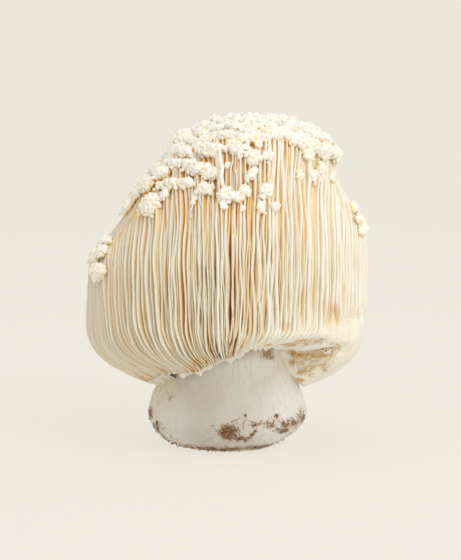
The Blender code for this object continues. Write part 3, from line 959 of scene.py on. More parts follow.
def make_cap_flesh():
    """The flesh as one closed piece, from the joint with the stem round the lip to the crown."""
    angle = full_turn(FLESH_COLUMNS)
    below = np.linspace(-1.0, 0.0, FLESH_ROWS_BELOW, endpoint=False)
    above = shares(FLESH_ROWS_ABOVE) ** 0.9
    places, angles = np.meshgrid(np.concatenate((below, above)), angle, indexing="ij")
    surface, torn, pale = flesh_surface(angles, places)
    surface[-1] = surface[-1].mean(axis=0) + outwards_at(angle) * 0.05
    under = np.array(underside_rows(angle)[::-1])
    points = np.concatenate((under, surface))
    under_angles = angles[: len(under)]
    angles = np.concatenate((under_angles, angles))
    torn = np.concatenate((torn_share(under_angles), torn))
    browned = plateau(degrees_around(angles), *TORN_BROWN) * torn
    browned = browned * (0.55 + 0.35 * wobble(points, 5.0) + 0.2 * wobble(points, 2.0))
    browned = browned * fade(points[..., 2], *TORN_BROWN_TOP)
    # painted shade: the underside between lip and stem is browned where the curtain is not torn
    underside_painted_shade = 0.5 * (np.arange(len(points)) < len(under))[:, None] * (1.0 - torn)
    bruised = marked(points, BRUISES) * (1.0 + 0.5 * wobble(points, 1.6))
    bare = np.maximum(pale, fade(places, -0.93, -0.99))
    marks = {
        "bare": np.concatenate((np.ones(under.shape[:2]), bare)),
        # brown: real bruises and torn browning, with the underside's painted shade
        "brown": np.maximum(browned + 0.8 * bruised, underside_painted_shade),
        "crown": crown_painted_shade(points),
        "gap": painted_gap_shade(angles, points[..., 2]),
        "soil": 0.55 * marked(points, TORN_SOIL),
    }
    return make_grid_piece("cap_flesh", points[None], marks, make_flesh_material())


cap_flesh = make_cap_flesh()
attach(cap_flesh, "root")
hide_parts("cap")


# ---------------------------------------------------------------------------------------------
# The tufts: crumbly white heads of young growth that cover the crown and hold the roots of the
# spines. They are one flesh with it; a few loose ones stand on the cap's edges.

TUFT_SEED = 5
TUFT_SECTORS = (  # (name, degrees it begins at, degrees it ends at, how fine its skin is)
    ("front", 290.0, 60.0, 0.37),
    ("right", 60.0, 175.0, 0.53),
    ("left", 175.0, 290.0, 0.53),
)
TUFT_CRUMBLE = ((0.45, 1.7), (0.32, 0.8))  # (how far, how wide) the skin is crumbled
SHADED_HOLLOW_DEPTH = 0.35  # how far below its neighbours a point lies to get the full painted shade of a hollow
SHADED_HOLLOW_HEIGHTS = (1.9, 0.1)  # and how near to the cap's round form it starts to get that painted shade
FRONT_HEADS = (  # as seen from the front: (right, up, width, height, how far it stands out)
    (-4.3, 128.3, 6.4, 3.6, 4.0), (0.4, 126.4, 10.4, 5.0, 4.2), (11.2, 127.4, 9.4, 4.6, 4.0),
    (18.8, 127.4, 10.0, 4.6, 4.0), (25.2, 126.2, 8.0, 4.6, 4.2), (31.7, 123.2, 8.0, 5.4, 3.8),
    (37.6, 119.0, 7.6, 5.4, 3.4), (-9.4, 125.6, 6.6, 4.2, 3.6), (-13.4, 122.8, 5.8, 4.4, 3.0),
    (-18.2, 119.4, 9.8, 7.8, 4.6), (-10.1, 120.8, 7.2, 3.8, 2.8), (-1.6, 120.2, 10.8, 3.9, 3.2),
    (-7.0, 114.8, 11.8, 5.2, 3.8), (4.4, 114.6, 8.7, 5.2, 3.5), (6.8, 119.0, 6.0, 4.8, 3.0),
    (10.4, 111.3, 5.6, 5.8, 3.1), (15.3, 112.2, 5.2, 4.0, 2.7), (12.0, 117.0, 3.3, 5.4, 2.2),
    (20.4, 121.0, 11.0, 7.4, 3.2), (27.6, 118.8, 9.4, 6.2, 3.4), (32.2, 116.6, 9.4, 5.8, 3.6),
    (31.8, 112.6, 4.4, 4.8, 2.4), (36.6, 107.4, 4.2, 4.8, 2.4), (37.0, 114.2, 9.2, 5.6, 4.0),
    (41.4, 112.2, 8.0, 6.2, 4.4), (40.4, 104.0, 3.0, 4.2, 1.8), (9.7, 105.0, 4.0, 6.2, 3.1),
    (0.0, 108.2, 3.0, 2.8, 2.0), (3.5, 105.7, 1.7, 2.6, 1.6), (-22.8, 114.2, 7.6, 6.0, 3.2),
    (-25.2, 110.6, 7.4, 5.6, 3.0), (-17.0, 114.0, 9.6, 4.2, 3.0), (-20.6, 109.2, 9.0, 4.2, 3.4),
    (-15.4, 108.6, 9.0, 4.4, 3.6), (-10.6, 107.2, 9.4, 4.8, 3.9), (-6.0, 105.2, 8.0, 4.6, 3.6),
    (-26.4, 105.6, 8.6, 5.6, 3.4), (-21.8, 101.6, 7.0, 4.0, 3.4), (-16.6, 101.6, 7.4, 4.4, 3.4),
    (-26.0, 100.8, 5.2, 3.2, 2.8), (-31.2, 101.6, 8.4, 5.8, 3.4), (-35.4, 98.4, 7.6, 5.4, 3.2),
    (-8.5, 99.4, 7.2, 5.2, 3.5), (-12.8, 95.6, 2.4, 4.6, 1.8), (-0.9, 97.2, 5.6, 5.4, 3.6),
    (2.6, 96.4, 7.0, 4.0, 3.4), (6.0, 98.6, 4.8, 4.4, 3.6), (14.6, 98.5, 5.2, 5.2, 3.2),
    (12.8, 92.3, 3.1, 5.2, 2.4), (18.4, 92.7, 3.8, 3.7, 2.7), (5.2, 91.7, 2.3, 2.8, 2.0),
    (-1.4, 92.9, 3.0, 3.9, 2.2), (-30.4, 93.6, 9.9, 8.8, 3.6), (-38.8, 93.6, 7.0, 7.2, 3.4),
    (-24.6, 97.6, 3.6, 4.4, 2.4), (28.0, 104.4, 3.5, 5.0, 1.9), (33.2, 104.4, 4.0, 4.6, 2.0),
    (36.6, 104.0, 3.1, 4.0, 1.8), (-47.6, 79.0, 6.0, 4.6, 3.4), (-48.6, 75.6, 4.6, 4.2, 3.4),
    (-51.0, 73.0, 6.0, 5.4, 3.6), (-50.2, 67.6, 8.4, 6.4, 4.4), (49.2, 91.8, 4.0, 4.6, 2.6),
    (51.4, 87.6, 5.2, 5.0, 3.4), (52.0, 83.8, 5.6, 4.8, 3.6),
)
HEAD_LINE = (  # the lowest place of the other heads, at even steps around from the front
    0.78, 0.78, 0.80, 0.80, 0.72, 0.58, 0.44, 0.42, 0.40, 0.42, 0.38, 0.40, 0.46, 0.54, 0.62, 0.72
)
HEAD_TRIES = 7000
HEAD_SIZE = (3.4, 8.5)
HEAD_GAP = (0.31, 0.29)  # how near heads may stand, as a share of their widths: low, and on the crown
HEAD_OUT = (1.6, 3.0)  # how far the other heads stand out, and how much further on the crown
HEAD_OUT_CROWN = 1.6
HEAD_HEIGHT = (0.5, 0.9)  # of their widths
LUMP_SPACING = 0.86
LUMP_RADIUS = (0.6, 0.98)
CRUMB_RADIUS = (0.36, 0.50)
CRUMBS = 2  # crumbs on each lump
DRIP_SPACING = 2.0  # a head has a small drip below it for each this much of its width
DRIP_RADIUS = (0.40, 0.70)
LOOSE_CRUMBS = 1300
LOOSE_CRUMB_RADIUS = (0.12, 0.30)


def place_seen_at(right, up, out):
    """The angle and place on the cap's front where a head that stands out is seen at a place."""
    place = np.linspace(-0.15, 0.985, 340)[:, None]
    _, half_width, shift = along(CAP_OUTLINE, np.maximum(place[:, 0], 0.0))
    sine = np.clip((right - shift) / half_width, -0.985, 0.985)
    angle = np.arcsin(sine)[:, None] + np.linspace(-0.12, 0.12, 13)[None, :]
    place = np.broadcast_to(place, angle.shape)
    point, _, _, square = cap_frame(angle, place)
    across, height = seen_from_front(point + square * 0.5 * out)
    best = np.argmin((across - right) ** 2 + (height - up) ** 2)
    return angle.ravel()[best], place.ravel()[best]


def spread_heads():
    """The heads: the angle, place, width, height and standing out of each."""
    draw = random.Random(TUFT_SEED)
    heads = []
    middles = []
    for right, up, width, height, out in FRONT_HEADS:
        angle, place = place_seen_at(right, up, out)
        heads.append((angle, place, width, height, out))
        middles.append(cap_round(angle, place))
    for _ in range(HEAD_TRIES):
        angle = draw.uniform(0.0, 2.0 * math.pi)
        place = draw.uniform(0.3, 1.0)
        width = draw.uniform(*HEAD_SIZE)
        if place < around(HEAD_LINE, angle) + draw.uniform(-0.05, 0.05):
            continue
        middle = cap_round(angle, place)
        gap = between(HEAD_GAP, fade(place, 0.7, 0.85))
        apart = np.linalg.norm(np.array(middles) - middle, axis=1)
        if not np.any(apart < gap * (width + np.array([head[2] for head in heads]))):
            out = draw.uniform(*HEAD_OUT) + HEAD_OUT_CROWN * fade(place, 0.75, 0.9)
            heads.append((angle, place, width, width * draw.uniform(*HEAD_HEIGHT), out))
            middles.append(middle)
    return np.array(heads)


def head_body(width, height, out, generator):
    """The lumps of one head's domed body and of its drips: how far across, up and out, and radii."""
    half = np.ceil(max(width, height) / 2.0 / LUMP_SPACING)
    steps = np.arange(-half, half + 1.0) * LUMP_SPACING
    across, up = (grid.ravel() for grid in np.meshgrid(steps, steps))
    across = across + generator.uniform(-0.45, 0.45, len(across)) * LUMP_SPACING
    up = up + generator.uniform(-0.45, 0.45, len(up)) * LUMP_SPACING
    reach = np.hypot(across / (width / 2.0 - 0.4), up / (height / 2.0 - 0.4))
    kept = reach < generator.uniform(0.8, 1.25, len(reach))
    across, up, reach = across[kept], up[kept], np.minimum(reach[kept], 1.0)
    radius = generator.uniform(*LUMP_RADIUS, len(across)) * min(1.0, 0.5 + 0.14 * min(width, height))
    dome = (out - 0.6 * radius) * np.sqrt(1.0 - 0.7 * reach**2)
    high = dome * generator.uniform(0.72, 1.0, len(across))
    drips = int(width / DRIP_SPACING)
    across = np.concatenate((across, across, generator.uniform(-0.46, 0.46, drips) * width))
    up = np.concatenate((up, up, -0.5 * height - generator.uniform(-0.8, 1.2, drips)))
    high = np.concatenate((high, 0.4 * high, generator.uniform(0.2, 0.7, drips) * out))
    radius = np.concatenate((radius, 1.15 * radius, generator.uniform(*DRIP_RADIUS, drips)))
    return across, up, high, radius


def head_lumps(heads):
    """The lumps and crumbs that heap up into all the heads: places, radii and the head of each."""
    generator = np.random.default_rng(TUFT_SEED)
    point, beside, upwards, square = cap_frame(heads[:, 0], np.minimum(heads[:, 1], 0.985))
    places = []
    radii = []
    owners = []
    for number, (_, _, width, height, out) in enumerate(heads):
        across, up, high, radius = head_body(width, height, out, generator)
        count = len(across)
        middle = point[number] + across[:, None] * beside[number] + up[:, None] * upwards[number]
        middle = middle + high[:, None] * square[number]
        places.append(middle)
        radii.append(radius)
        owners.append(np.full(count, number))
        toward = unit(generator.normal(size=(count, CRUMBS, 3)) + 0.6 * square[number])
        crumb = generator.uniform(*CRUMB_RADIUS, (count, CRUMBS))
        far = radius[:, None] * generator.uniform(0.75, 1.0, (count, CRUMBS))
        places.append((middle[:, None] + toward * far[..., None]).reshape(-1, 3))
        radii.append(crumb.ravel())
        owners.append(np.full(count * CRUMBS, number))
    return np.concatenate(places), np.concatenate(radii), np.concatenate(owners)


def fuse_lumps(name, places, radii, voxel):
    """One closed skin round many lumps, as points in millimetres and its faces."""
    data = bpy.data.meshes.new(name)
    data.vertices.add(len(places))
    data.vertices.foreach_set("co", places.ravel())
    data.attributes.new("radius", "FLOAT", "POINT").data.foreach_set("value", radii.astype(np.float32))
    cloud = add_object(name, data)
    tree = bpy.data.node_groups.new(name, "GeometryNodeTree")
    tree.interface.new_socket("Geometry", in_out="INPUT", socket_type="NodeSocketGeometry")
    tree.interface.new_socket("Geometry", in_out="OUTPUT", socket_type="NodeSocketGeometry")
    given = tree.nodes.new("NodeGroupInput")
    radius = add_node(tree, "GeometryNodeInputNamedAttribute", {"Name": "radius"}, data_type="FLOAT")
    dots = add_node(
        tree,
        "GeometryNodeMeshToPoints",
        {"Mesh": given.outputs["Geometry"], "Radius": radius.outputs["Attribute"]},
    )
    volume = add_node(
        tree,
        "GeometryNodePointsToVolume",
        {"Points": dots.outputs["Points"], "Voxel Size": voxel, "Radius": radius.outputs["Attribute"]},
        resolution_mode="VOXEL_SIZE",
    )
    skin = add_node(tree, "GeometryNodeVolumeToMesh", {"Volume": volume.outputs["Volume"]})
    result = tree.nodes.new("NodeGroupOutput")
    tree.links.new(skin.outputs["Mesh"], result.inputs["Geometry"])
    cloud.modifiers.new("fuse", "NODES").node_group = tree
    fused = cloud.evaluated_get(bpy.context.evaluated_depsgraph_get()).to_mesh()
    points = np.empty(len(fused.vertices) * 3, np.float32)
    fused.vertices.foreach_get("co", points)
    faces = np.empty(len(fused.loops), np.int32)
    fused.loops.foreach_get("vertex_index", faces)
    bpy.data.objects.remove(cloud)
    return points.reshape(-1, 3).astype(float), faces.reshape(-1, 4)


def smoothed(points, faces, values, times):
    """Values spread to neighbouring points along the faces' edges."""
    starts = faces.ravel()
    ends = np.roll(faces, -1, axis=1).ravel()
    count = np.bincount(starts, minlength=len(points)) + np.bincount(ends, minlength=len(points))
    for _ in range(times):
        total = np.empty_like(values)
        for part in range(values.shape[1]):
            total[:, part] = np.bincount(starts, values[ends, part], len(points))
            total[:, part] += np.bincount(ends, values[starts, part], len(points))
        values = total / np.maximum(count, 1)[:, None]
    return values


def point_directions(points, faces):
    """The direction square out of the skin at each point."""
    corners = points[faces]
    square = np.cross(corners[:, 2] - corners[:, 0], corners[:, 3] - corners[:, 1])
    total = np.zeros_like(points)
    for corner in range(4):
        for part in range(3):
            total[:, part] += np.bincount(faces[:, corner], square[:, part], len(points))
    return unit(total)


def form_tree():
    """The cap's round form as a surface to measure from."""
    place, angle = np.meshgrid(shares(60), full_turn(120), indexing="ij")
    rows = cap_round(angle, place)
    quads, _ = grid_faces(1, *rows.shape[:2])
    return BVHTree.FromPolygons(rows.reshape(-1, 3).tolist(), quads.tolist())


def height_above(tree, points):
    """How far points stand above the cap's round form; below it is negative."""
    heights = []
    for point in points.tolist():
        found, square, _, distance = tree.find_nearest(point)
        heights.append(math.copysign(distance, (Vector(point) - found).dot(square)))
    return np.array(heights)


def make_tuft_material():
    """Crumbly matt white flesh, with painted warm shade in its hollows: cream, and orange on the crown."""
    material, tree, shader = new_material("tuft flesh", 0.8, 0.15)
    place = own_place(tree)
    crumbs = noise_at(tree, place, 900.0, 4.0)
    cloud = ranged(tree, noise_at(tree, place, 160.0, 2.0), 0.35, 0.65)
    colour = mixed(tree, cloud, seen(250, 248, 242), seen(249, 244, 233))
    # painted shade: cream in the hollows, orange where the crown mark is high too
    hollow = plus(tree, mark_of(tree, "hollow"), centred(tree, crumbs, 0.5))
    colour = mixed(tree, ranged(tree, hollow, -0.05, 0.45), colour, seen(253, 235, 196))
    crown = ranged(tree, mark_of(tree, "crown"), 0.0, 0.8, 0.2, 1.0)
    orange = times(tree, ranged(tree, hollow, 0.26, 0.68), crown)
    colour = mixed(tree, orange, colour, seen(254, 200, 92))
    finish_surface(tree, shader, colour, crumbs, 0.35)
    return material


def in_sector(turn, begins, ends):
    """Which of the angles, in degrees from 0 to 360, lie in a sector."""
    return (turn - begins) % 360.0 < (ends - begins) % 360.0


def make_tuft(name, places, radii, voxel, form, material):
    """One sector's tufts as a closed crumbly skin: the piece, and its high points for crumbs."""
    points, faces = fuse_lumps(name, places, radii, voxel)
    square = point_directions(points, faces)
    crumble = sum(deep * np.abs(wobble(points, size)) for deep, size in TUFT_CRUMBLE) - 0.15
    points = points + square * crumble[:, None]
    # the hollow mark is painted shade: hollows in the skin, and points low near the cap's form
    hollow = ((smoothed(points, faces, points, 6) - points) * square).sum(axis=1) / SHADED_HOLLOW_DEPTH
    sunk = fade(height_above(form, points), *SHADED_HOLLOW_HEIGHTS)
    marks = {"hollow": np.clip(hollow, -0.2, 0.8) + 0.8 * sunk, "crown": crown_painted_shade(points)}
    piece = make_piece(name, points, faces, np.empty((0, 4), int), None, marks, material)
    high = (sunk < 0.6) & (hollow < 0.3)
    return piece, points[high], square[high]


def make_loose_crumbs(points, square, generator, material):
    """Crumbs that lie loose on the tufts' high points."""
    chosen = generator.choice(len(points), LOOSE_CRUMBS, replace=False)
    size = between(LOOSE_CRUMB_RADIUS, generator.random(LOOSE_CRUMBS) ** 1.5)
    centres = points[chosen] + square[chosen] * (size * 0.35)[:, None]
    marks = {"hollow": generator.uniform(-0.2, 0.2, LOOSE_CRUMBS), "crown": np.zeros(LOOSE_CRUMBS)}
    return make_grains("cap_tuft_crumbs", centres, size, generator, marks, material)


def make_tufts(heads):
    """The tufts in three sectors of the crown, and their loose crumbs."""
    places, radii, owners = head_lumps(heads)
    turn = degrees_around(heads[:, 0])[owners]
    form = form_tree()
    material = make_tuft_material()
    made = []
    for name, begins, ends, voxel in TUFT_SECTORS:
        inside = in_sector(turn, begins, ends)
        made.append(make_tuft("cap_tufts_" + name, places[inside], radii[inside], voxel, form, material))
    pieces, points, square = zip(*made)
    generator = np.random.default_rng(TUFT_SEED)
    crumbs = make_loose_crumbs(np.concatenate(points), np.concatenate(square), generator, material)
    return [*pieces, crumbs]


heads = spread_heads()
for piece in make_tufts(heads):
    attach(piece, "root")
    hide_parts("cap")


# ---------------------------------------------------------------------------------------------
# The spines: thin soft blades of flesh that hang side by side from the tufts to the lip, like
# gills on edge. They hang plumb over the front and back, part and run together, and turn in
# under the cap to ragged tips. Thinner ones grow deep in the gaps between the main ones.

SPINES = 160
SPINES_CLOSER = 0.18  # how much closer they stand at the front and back than at the sides
SPINE_SEED = 7
SPINE_ROWS = 50
SPINE_PROFILE = (  # from the edge in: (share of depth, share of edge, share of the widening)
    (0.0, 0.0, 0.0),
    (0.03, 0.55, 0.0),
    (0.10, 0.92, 0.03),
    (0.25, 1.0, 0.2),
    (0.55, 1.0, 0.6),
    (1.0, 1.0, 1.0),
)
SPINE_EDGE = (  # edge thickness as a share of the spacing, at even steps around from the front
    0.30, 0.34, 0.40, 0.52, 0.62, 0.52, 0.42, 0.36, 0.34, 0.34, 0.34, 0.36, 0.38, 0.32, 0.27, 0.27
)
SPINE_PAINTED_SIDE_SHADE = (  # painted shade that greys the blades on the left and leaves them paler on the right, at the same steps: -1 to 1
    -0.5, -0.8, -0.9, -0.9, -0.8, -0.7, -0.5, -0.4, -0.3, -0.2, 0.0, 0.3, 0.6, 0.55, 0.35, 0.0
)
SPINE_ROOTED = 0.8  # how far a blade reaches into the flesh
SPINE_SPACING_MOST = 3.2
SPINE_THICKER = (-0.4, -0.15, 0.1, 0.35, 0.9)  # how much thicker than others a blade's edge may be
SPINE_UNEVEN = (0.35, 0.05, 0.25)  # the share of that at the front, and where the rest sets in
SPINE_LATE = 0.15  # every second spine starts low, out of its neighbour, by a chance under this
SPINE_EARLY = 0.83  # and it ends high, run into its neighbour, by the same chance over this
SPINE_HELD_OUT = 1.5  # the furthest that a tuft holds its spines out
SPINE_ROOT_SHARE = 0.90  # thickness at the root as a share of the spacing
SPINE_RAISED = (-0.28, 0.10)  # how far edges stand out, as a share of the gaps' depth
SPINE_WANDER = 0.52  # how far one drifts alone, as a share of the spacing
SPINE_WANDER_SIZE = 16.0
SPINE_LEAN = 0.26  # how far an edge leans aside, as a share of the spacing
SPINE_SWAY = 0.016  # how far neighbours sway together, in radians
SPINE_SWAY_SIZE = 45.0
SPINE_TIP = (0.3, 2.0)  # how far the tips hang below the lip
SPINE_TIP_LENGTH = 9.0
SPINE_TIP_TAPER = 5.0
MERGED_SINK = 1.1  # how deep the edges lie where they have run together
SPINE_SINK = 12.0  # the length over which an end sinks in among its neighbours
SPINE_SUNK = 0.62  # how far it does so, as a share of the gaps' depth
INNER_SHARE = (0.68, 0.92)  # of the gaps hold a thinner blade, at the sides and at the front
INNER_DOUBLED = 0.85  # two of them stand in each gap where the cosine of its angle is over this
INNER_APART = 0.22  # how far apart those two stand, as a share of the main spines' spacing
INNER_MERGED = 0.3  # how far their ends lean into a neighbour
INNER_RAISED = (-0.62, -0.30)  # how far their edges stand out, as the main ones' do
INNER_RAISED_FRONT = 0.2  # how much more they do so at the front
INNER_EDGE = 0.62  # of a main blade's edge
TORN_ENDS = 2.5  # how far above the tear's edge the spines end
TORN_RAGGED_ENDS = 0.32  # how much further up the form single ones may end there
TORN_SUNK = 2.2  # how much further those ends sink in than others
SPINE_SWEEP = 0.09  # how far the spines turn round to the front and back as they run in under
SPINE_SWEEP_PLACES = (0.4, -0.9)  # places between which they do so
LIMB_BAND = 0.26  # how far from the cap's right and left edge, in radians, spines run straight down
LIMB_SHARE = 0.22  # beyond that, the share of its further way to the edge that a spine keeps
CROWDED = (0.50, 0.26, 0.14)  # how close all stand where every second, fourth and eighth starts
FORK_LENGTH = 15.0  # the length over which a spine runs out of or into its neighbour
HEAD_STRAND = (9.0, 30.0)  # how far below a tuft its spines still stand out
SPINE_SECTORS = (  # (name, degrees it begins at, degrees it ends at)
    ("front", 320.0, 40.0),
    ("right", 40.0, 130.0),
    ("back", 130.0, 230.0),
    ("left", 230.0, 320.0),
)
SPINE_BROWN_SHADE_RAMP = (  # painted shade from the edges down to the ground of brown gaps: (depth, red, green, blue)
    (0.0, 247, 244, 237),
    (0.10, 243, 237, 221),
    (0.30, 237, 219, 178),
    (0.60, 230, 188, 104),
    (1.0, 208, 148, 46),
)
SPINE_PALE_SHADE_RAMP = (  # the same painted shade, paler, in pale gaps
    (0.0, 246, 244, 237),
    (0.12, 243, 239, 227),
    (0.45, 241, 230, 206),
    (1.0, 241, 222, 184),
)
SPINE_STAINS = (  # brown bruises on the curtain: (right, up, half width, half height, strength)
    (41.0, 51.0, 3.4, 5.0, 1.0),
    (43.0, 46.0, 2.6, 6.0, 0.5),
    (-12.4, 32.0, 2.6, 2.2, 1.0),
    (22.0, 46.0, 3.0, 2.4, 1.0),
    (26.0, 41.6, 2.6, 1.0, 0.6),
    (-33.0, 25.0, 6.0, 2.0, 0.8),
)


def course_at(angle, place):
    """The angle at each place of the spines that stand at the given angles on the belly. They hang
    plumb, but keep straight down the cap's form in a band beside each side edge, and crowd together
    next to it where plumb ones would leave the cap."""
    angle = angle - SPINE_SWEEP * np.sin(2.0 * angle) * fade(place, *SPINE_SWEEP_PLACES)
    half_width, shift = along(CAP_OUTLINE, np.clip(place, 0.0, 1.0))[1:]
    sine = (BELLY_SHIFT + BELLY_WIDTH * np.sin(angle) - shift) / np.maximum(half_width, 1e-3)
    quarter = math.pi / 2.0
    own = np.arcsin(np.sin(angle))
    plumb = quarter - np.arcsin(np.minimum(np.abs(sine), 1.0))
    from_limb = quarter - np.abs(own)
    least = np.minimum(from_limb, LIMB_BAND + LIMB_SHARE * (from_limb - LIMB_BAND))
    room = np.cbrt(plumb**3 + least**3 * (1.0 - plumb / quarter))
    return angle + np.sign(np.cos(angle)) * (np.sign(sine) * (quarter - room) - own)


def course_spacing(angle, place):
    """How far apart the main spines stand on their courses."""
    half = math.pi / SPINES
    ahead = cap_round(course_at(angle + half, place), place)
    return np.linalg.norm(ahead - cap_round(course_at(angle - half, place), place), axis=-1)


def top_of_course(angle):
    """The highest place of each spine: most start where they would crowd one another."""
    place = np.linspace(0.0, 0.985, 100)[None, :]
    spacing = course_spacing(*np.broadcast_arrays(angle[:, None], place))
    spacing = np.minimum.accumulate(spacing, axis=1)
    number = np.arange(len(angle))
    least = np.zeros(len(angle))
    for level, closest in enumerate(CROWDED):
        least[number % 2 ** (level + 1) == 2**level] = closest
    return place[0, np.maximum((spacing > least[:, None]).sum(axis=1) - 1, 0)]


def curtain_foot(angle):
    """The place where the spines end: the lip, or just above the tear on the right side."""
    tear = (BELLY_HEIGHT - TORN_HEIGHT - TORN_ENDS) / (BELLY_HEIGHT - around(LIP_HEIGHTS, angle))
    torn = torn_share(angle)
    return -(1.0 - torn) - torn * tear


def drift(angle, height, spacing_turn):
    """How far round a blade has drifted at a height, in radians: with its neighbours and alone."""
    place = outwards_at(angle) * BELLY_WIDTH
    place[..., 2] = height
    shared = SPINE_SWAY * wobble(place, SPINE_SWAY_SIZE)
    own_place = points_at(angle * 2400.0, 0.0, height)
    return shared + SPINE_WANDER * spacing_turn * wobble(own_place, SPINE_WANDER_SIZE)


def run_along(line):
    """How far along its own line each point of many lines lies."""
    steps = np.linalg.norm(np.diff(line, axis=1), axis=2)
    return np.concatenate((np.zeros((len(line), 1)), np.cumsum(steps, axis=1)), axis=1)


def lift_under_heads(line, run, heads, generator):
    """How far the tufts hold out the spines that hang from them."""
    lift = np.zeros(line.shape[:2])
    every = np.arange(len(line))
    for angle, place, width, _, out in heads:
        apart = np.linalg.norm(line - cap_round(angle, place), axis=2)
        row = apart.argmin(axis=1)
        held = apart[every, row] < 0.5 * width
        below = run - run[every, row][:, None]
        reach = generator.uniform(*HEAD_STRAND, (len(line), 1))
        height = held * min(out, SPINE_HELD_OUT) * generator.uniform(0.45, 1.0, len(line))
        lift = np.maximum(lift, height[:, None] * fade(below, reach, 0.0) * fade(below, -3.0, 0.0))
    return lift


def blade_points(course, place, raised, edge, root, lean, drop):
    """Points of many blades' surfaces, each value an array of blades by rows, and their depths."""
    half = np.array(SPINE_PROFILE)
    deep, on_edge, on_root = np.concatenate((half, half[:0:-1] * (1.0, -1.0, -1.0))).T
    point, beside, _, square = cap_frame(course, place)
    gap_depth = flesh_depth(course, place)
    depth = np.maximum(raised + gap_depth + SPINE_ROOTED, 0.6)
    gap_depth = np.maximum(gap_depth, 0.8)
    across = edge[..., None] * on_edge / 2.0 + (root - edge)[..., None] * on_root / 2.0
    across = across + lean[..., None] * (1.0 - deep) ** 2
    out = raised[..., None] - deep * depth[..., None]
    points = point[:, :, None] + beside[:, :, None] * across[..., None]
    points = points + square[:, :, None] * out[..., None]
    points[..., 2] -= drop[..., None]
    below = deep * depth[..., None] + 0.75 * np.maximum(-raised, 0.0)[..., None]
    return points, below / (gap_depth + 0.5)[..., None]


def edge_thickness(course, spacing, merged, own, thicker, edge_share):
    """How thick the blades' edges are before they taper."""
    least, begins, full = SPINE_UNEVEN
    uneven = least + (1.0 - least) * fade(np.abs(np.sin(course / 2.0)), begins, full)
    varied = 1.0 + uneven * (0.9 * wobble(own, 8.0) + thicker[:, None])
    share = around(SPINE_EDGE, course) * edge_share * np.clip(varied, 0.45, 2.3)
    return spacing * (share * (1.0 - merged) + 0.92 * merged)


def make_blades(angle, top, foot, raised, edge_share, merges, heads, generator):
    """A set of blades: their points, and what their material reads at each."""
    count = len(angle)
    top_merges, foot_merges = (share[:, None] for share in merges)
    place = top[:, None] + (foot - top)[:, None] * shares(SPINE_ROWS)[None, :]
    angles = np.broadcast_to(angle[:, None], place.shape)
    spacing_turn = 2.0 * math.pi / SPINES
    side = generator.choice((-1.0, 1.0), count)[:, None]
    plain = cap_round(course_at(angles, place), place)
    run = run_along(plain)
    to_foot = run[:, -1:] - run
    forked = top_merges * fade(run, FORK_LENGTH, 0.0) + foot_merges * fade(to_foot, FORK_LENGTH, 0.0)
    own_turn = drift(angles, plain[..., 2], spacing_turn) + side * spacing_turn * forked
    course = course_at(angles + own_turn, place)
    line = cap_round(course, place)
    spacing = course_spacing(angles, place)
    sparse = sum(fade(spacing, 1.12 * least, 0.92 * least) for least in CROWDED)
    spacing = np.minimum(spacing * 2.0**sparse, SPINE_SPACING_MOST)
    merged = merged_share(course, line[..., 2])
    own = points_at(angles * 3000.0, 40.0, plain[..., 2])
    thicker = generator.choice(SPINE_THICKER, count)
    edge = edge_thickness(course, spacing, merged, own, thicker, edge_share)
    lift = lift_under_heads(line, run, heads, generator) * fade(np.abs(np.sin(course)), 0.96, 0.82)
    torn = torn_share(angles)
    tapered = fade(to_foot, 0.0, SPINE_TIP_TAPER)
    sunk_top = fade(run, np.where(top_merges > 0.0, SPINE_SINK, SPINE_TIP_TAPER), 0.0)
    sunk_foot = np.maximum(foot_merges, TORN_SUNK * torn) * fade(to_foot, SPINE_SINK, 0.0)
    edge = edge * (1.0 + 0.25 * lift) * (0.35 + 0.65 * tapered) * (1.0 - 0.5 * sunk_top)
    root = np.maximum(SPINE_ROOT_SHARE * spacing, edge * 1.05)
    room = np.maximum(flesh_depth(course, place), 0.4)
    raised = room * (raised[:, None] + 0.13 * wobble(own + 50.0, 12.0) + 0.12 * wobble(line, 8.0))
    sunken = fade(merged, 0.55, 1.0)
    raised = raised * (1.0 - sunken) - MERGED_SINK * sunken + lift
    raised = raised - SPINE_SUNK * room * (sunk_top + sunk_foot) - 0.5 * (1.0 - tapered)
    lean = SPINE_LEAN * spacing * wobble(own + 90.0, 16.0)
    tips = generator.uniform(*SPINE_TIP, count)[:, None] * (1.0 - torn)
    drop = tips * fade(to_foot, SPINE_TIP_LENGTH, 0.0)
    points, below = blade_points(course, place, raised, edge, root, lean, drop)
    # tone: a random tone of each blade, plus the painted side shade
    tone = 0.35 * generator.uniform(-1.0, 1.0, count)[:, None] + around(SPINE_PAINTED_SIDE_SHADE, course)
    # the gap, depth and crown marks carry painted shade for the material
    shown = {"gap": painted_gap_shade(course, line[..., 2]), "tone": tone, "crown": crown_painted_shade(line)}
    marks = {mark: np.broadcast_to(value[..., None], below.shape) for mark, value in shown.items()}
    return points, {**marks, "depth": below, "stain": marked(points, SPINE_STAINS)}


def add_ramp(tree, value, stops):
    """A colour that follows a value from 0 to 1 through stops of (value, red, green, blue)."""
    node = add_node(tree, "ShaderNodeValToRGB", {"Fac": value})
    elements = node.color_ramp.elements
    for at, *_ in stops[1:-1]:
        elements.new(at)
    for element, (_, *colour) in zip(elements, stops):
        element.color = seen(*colour)
    return node.outputs["Color"]


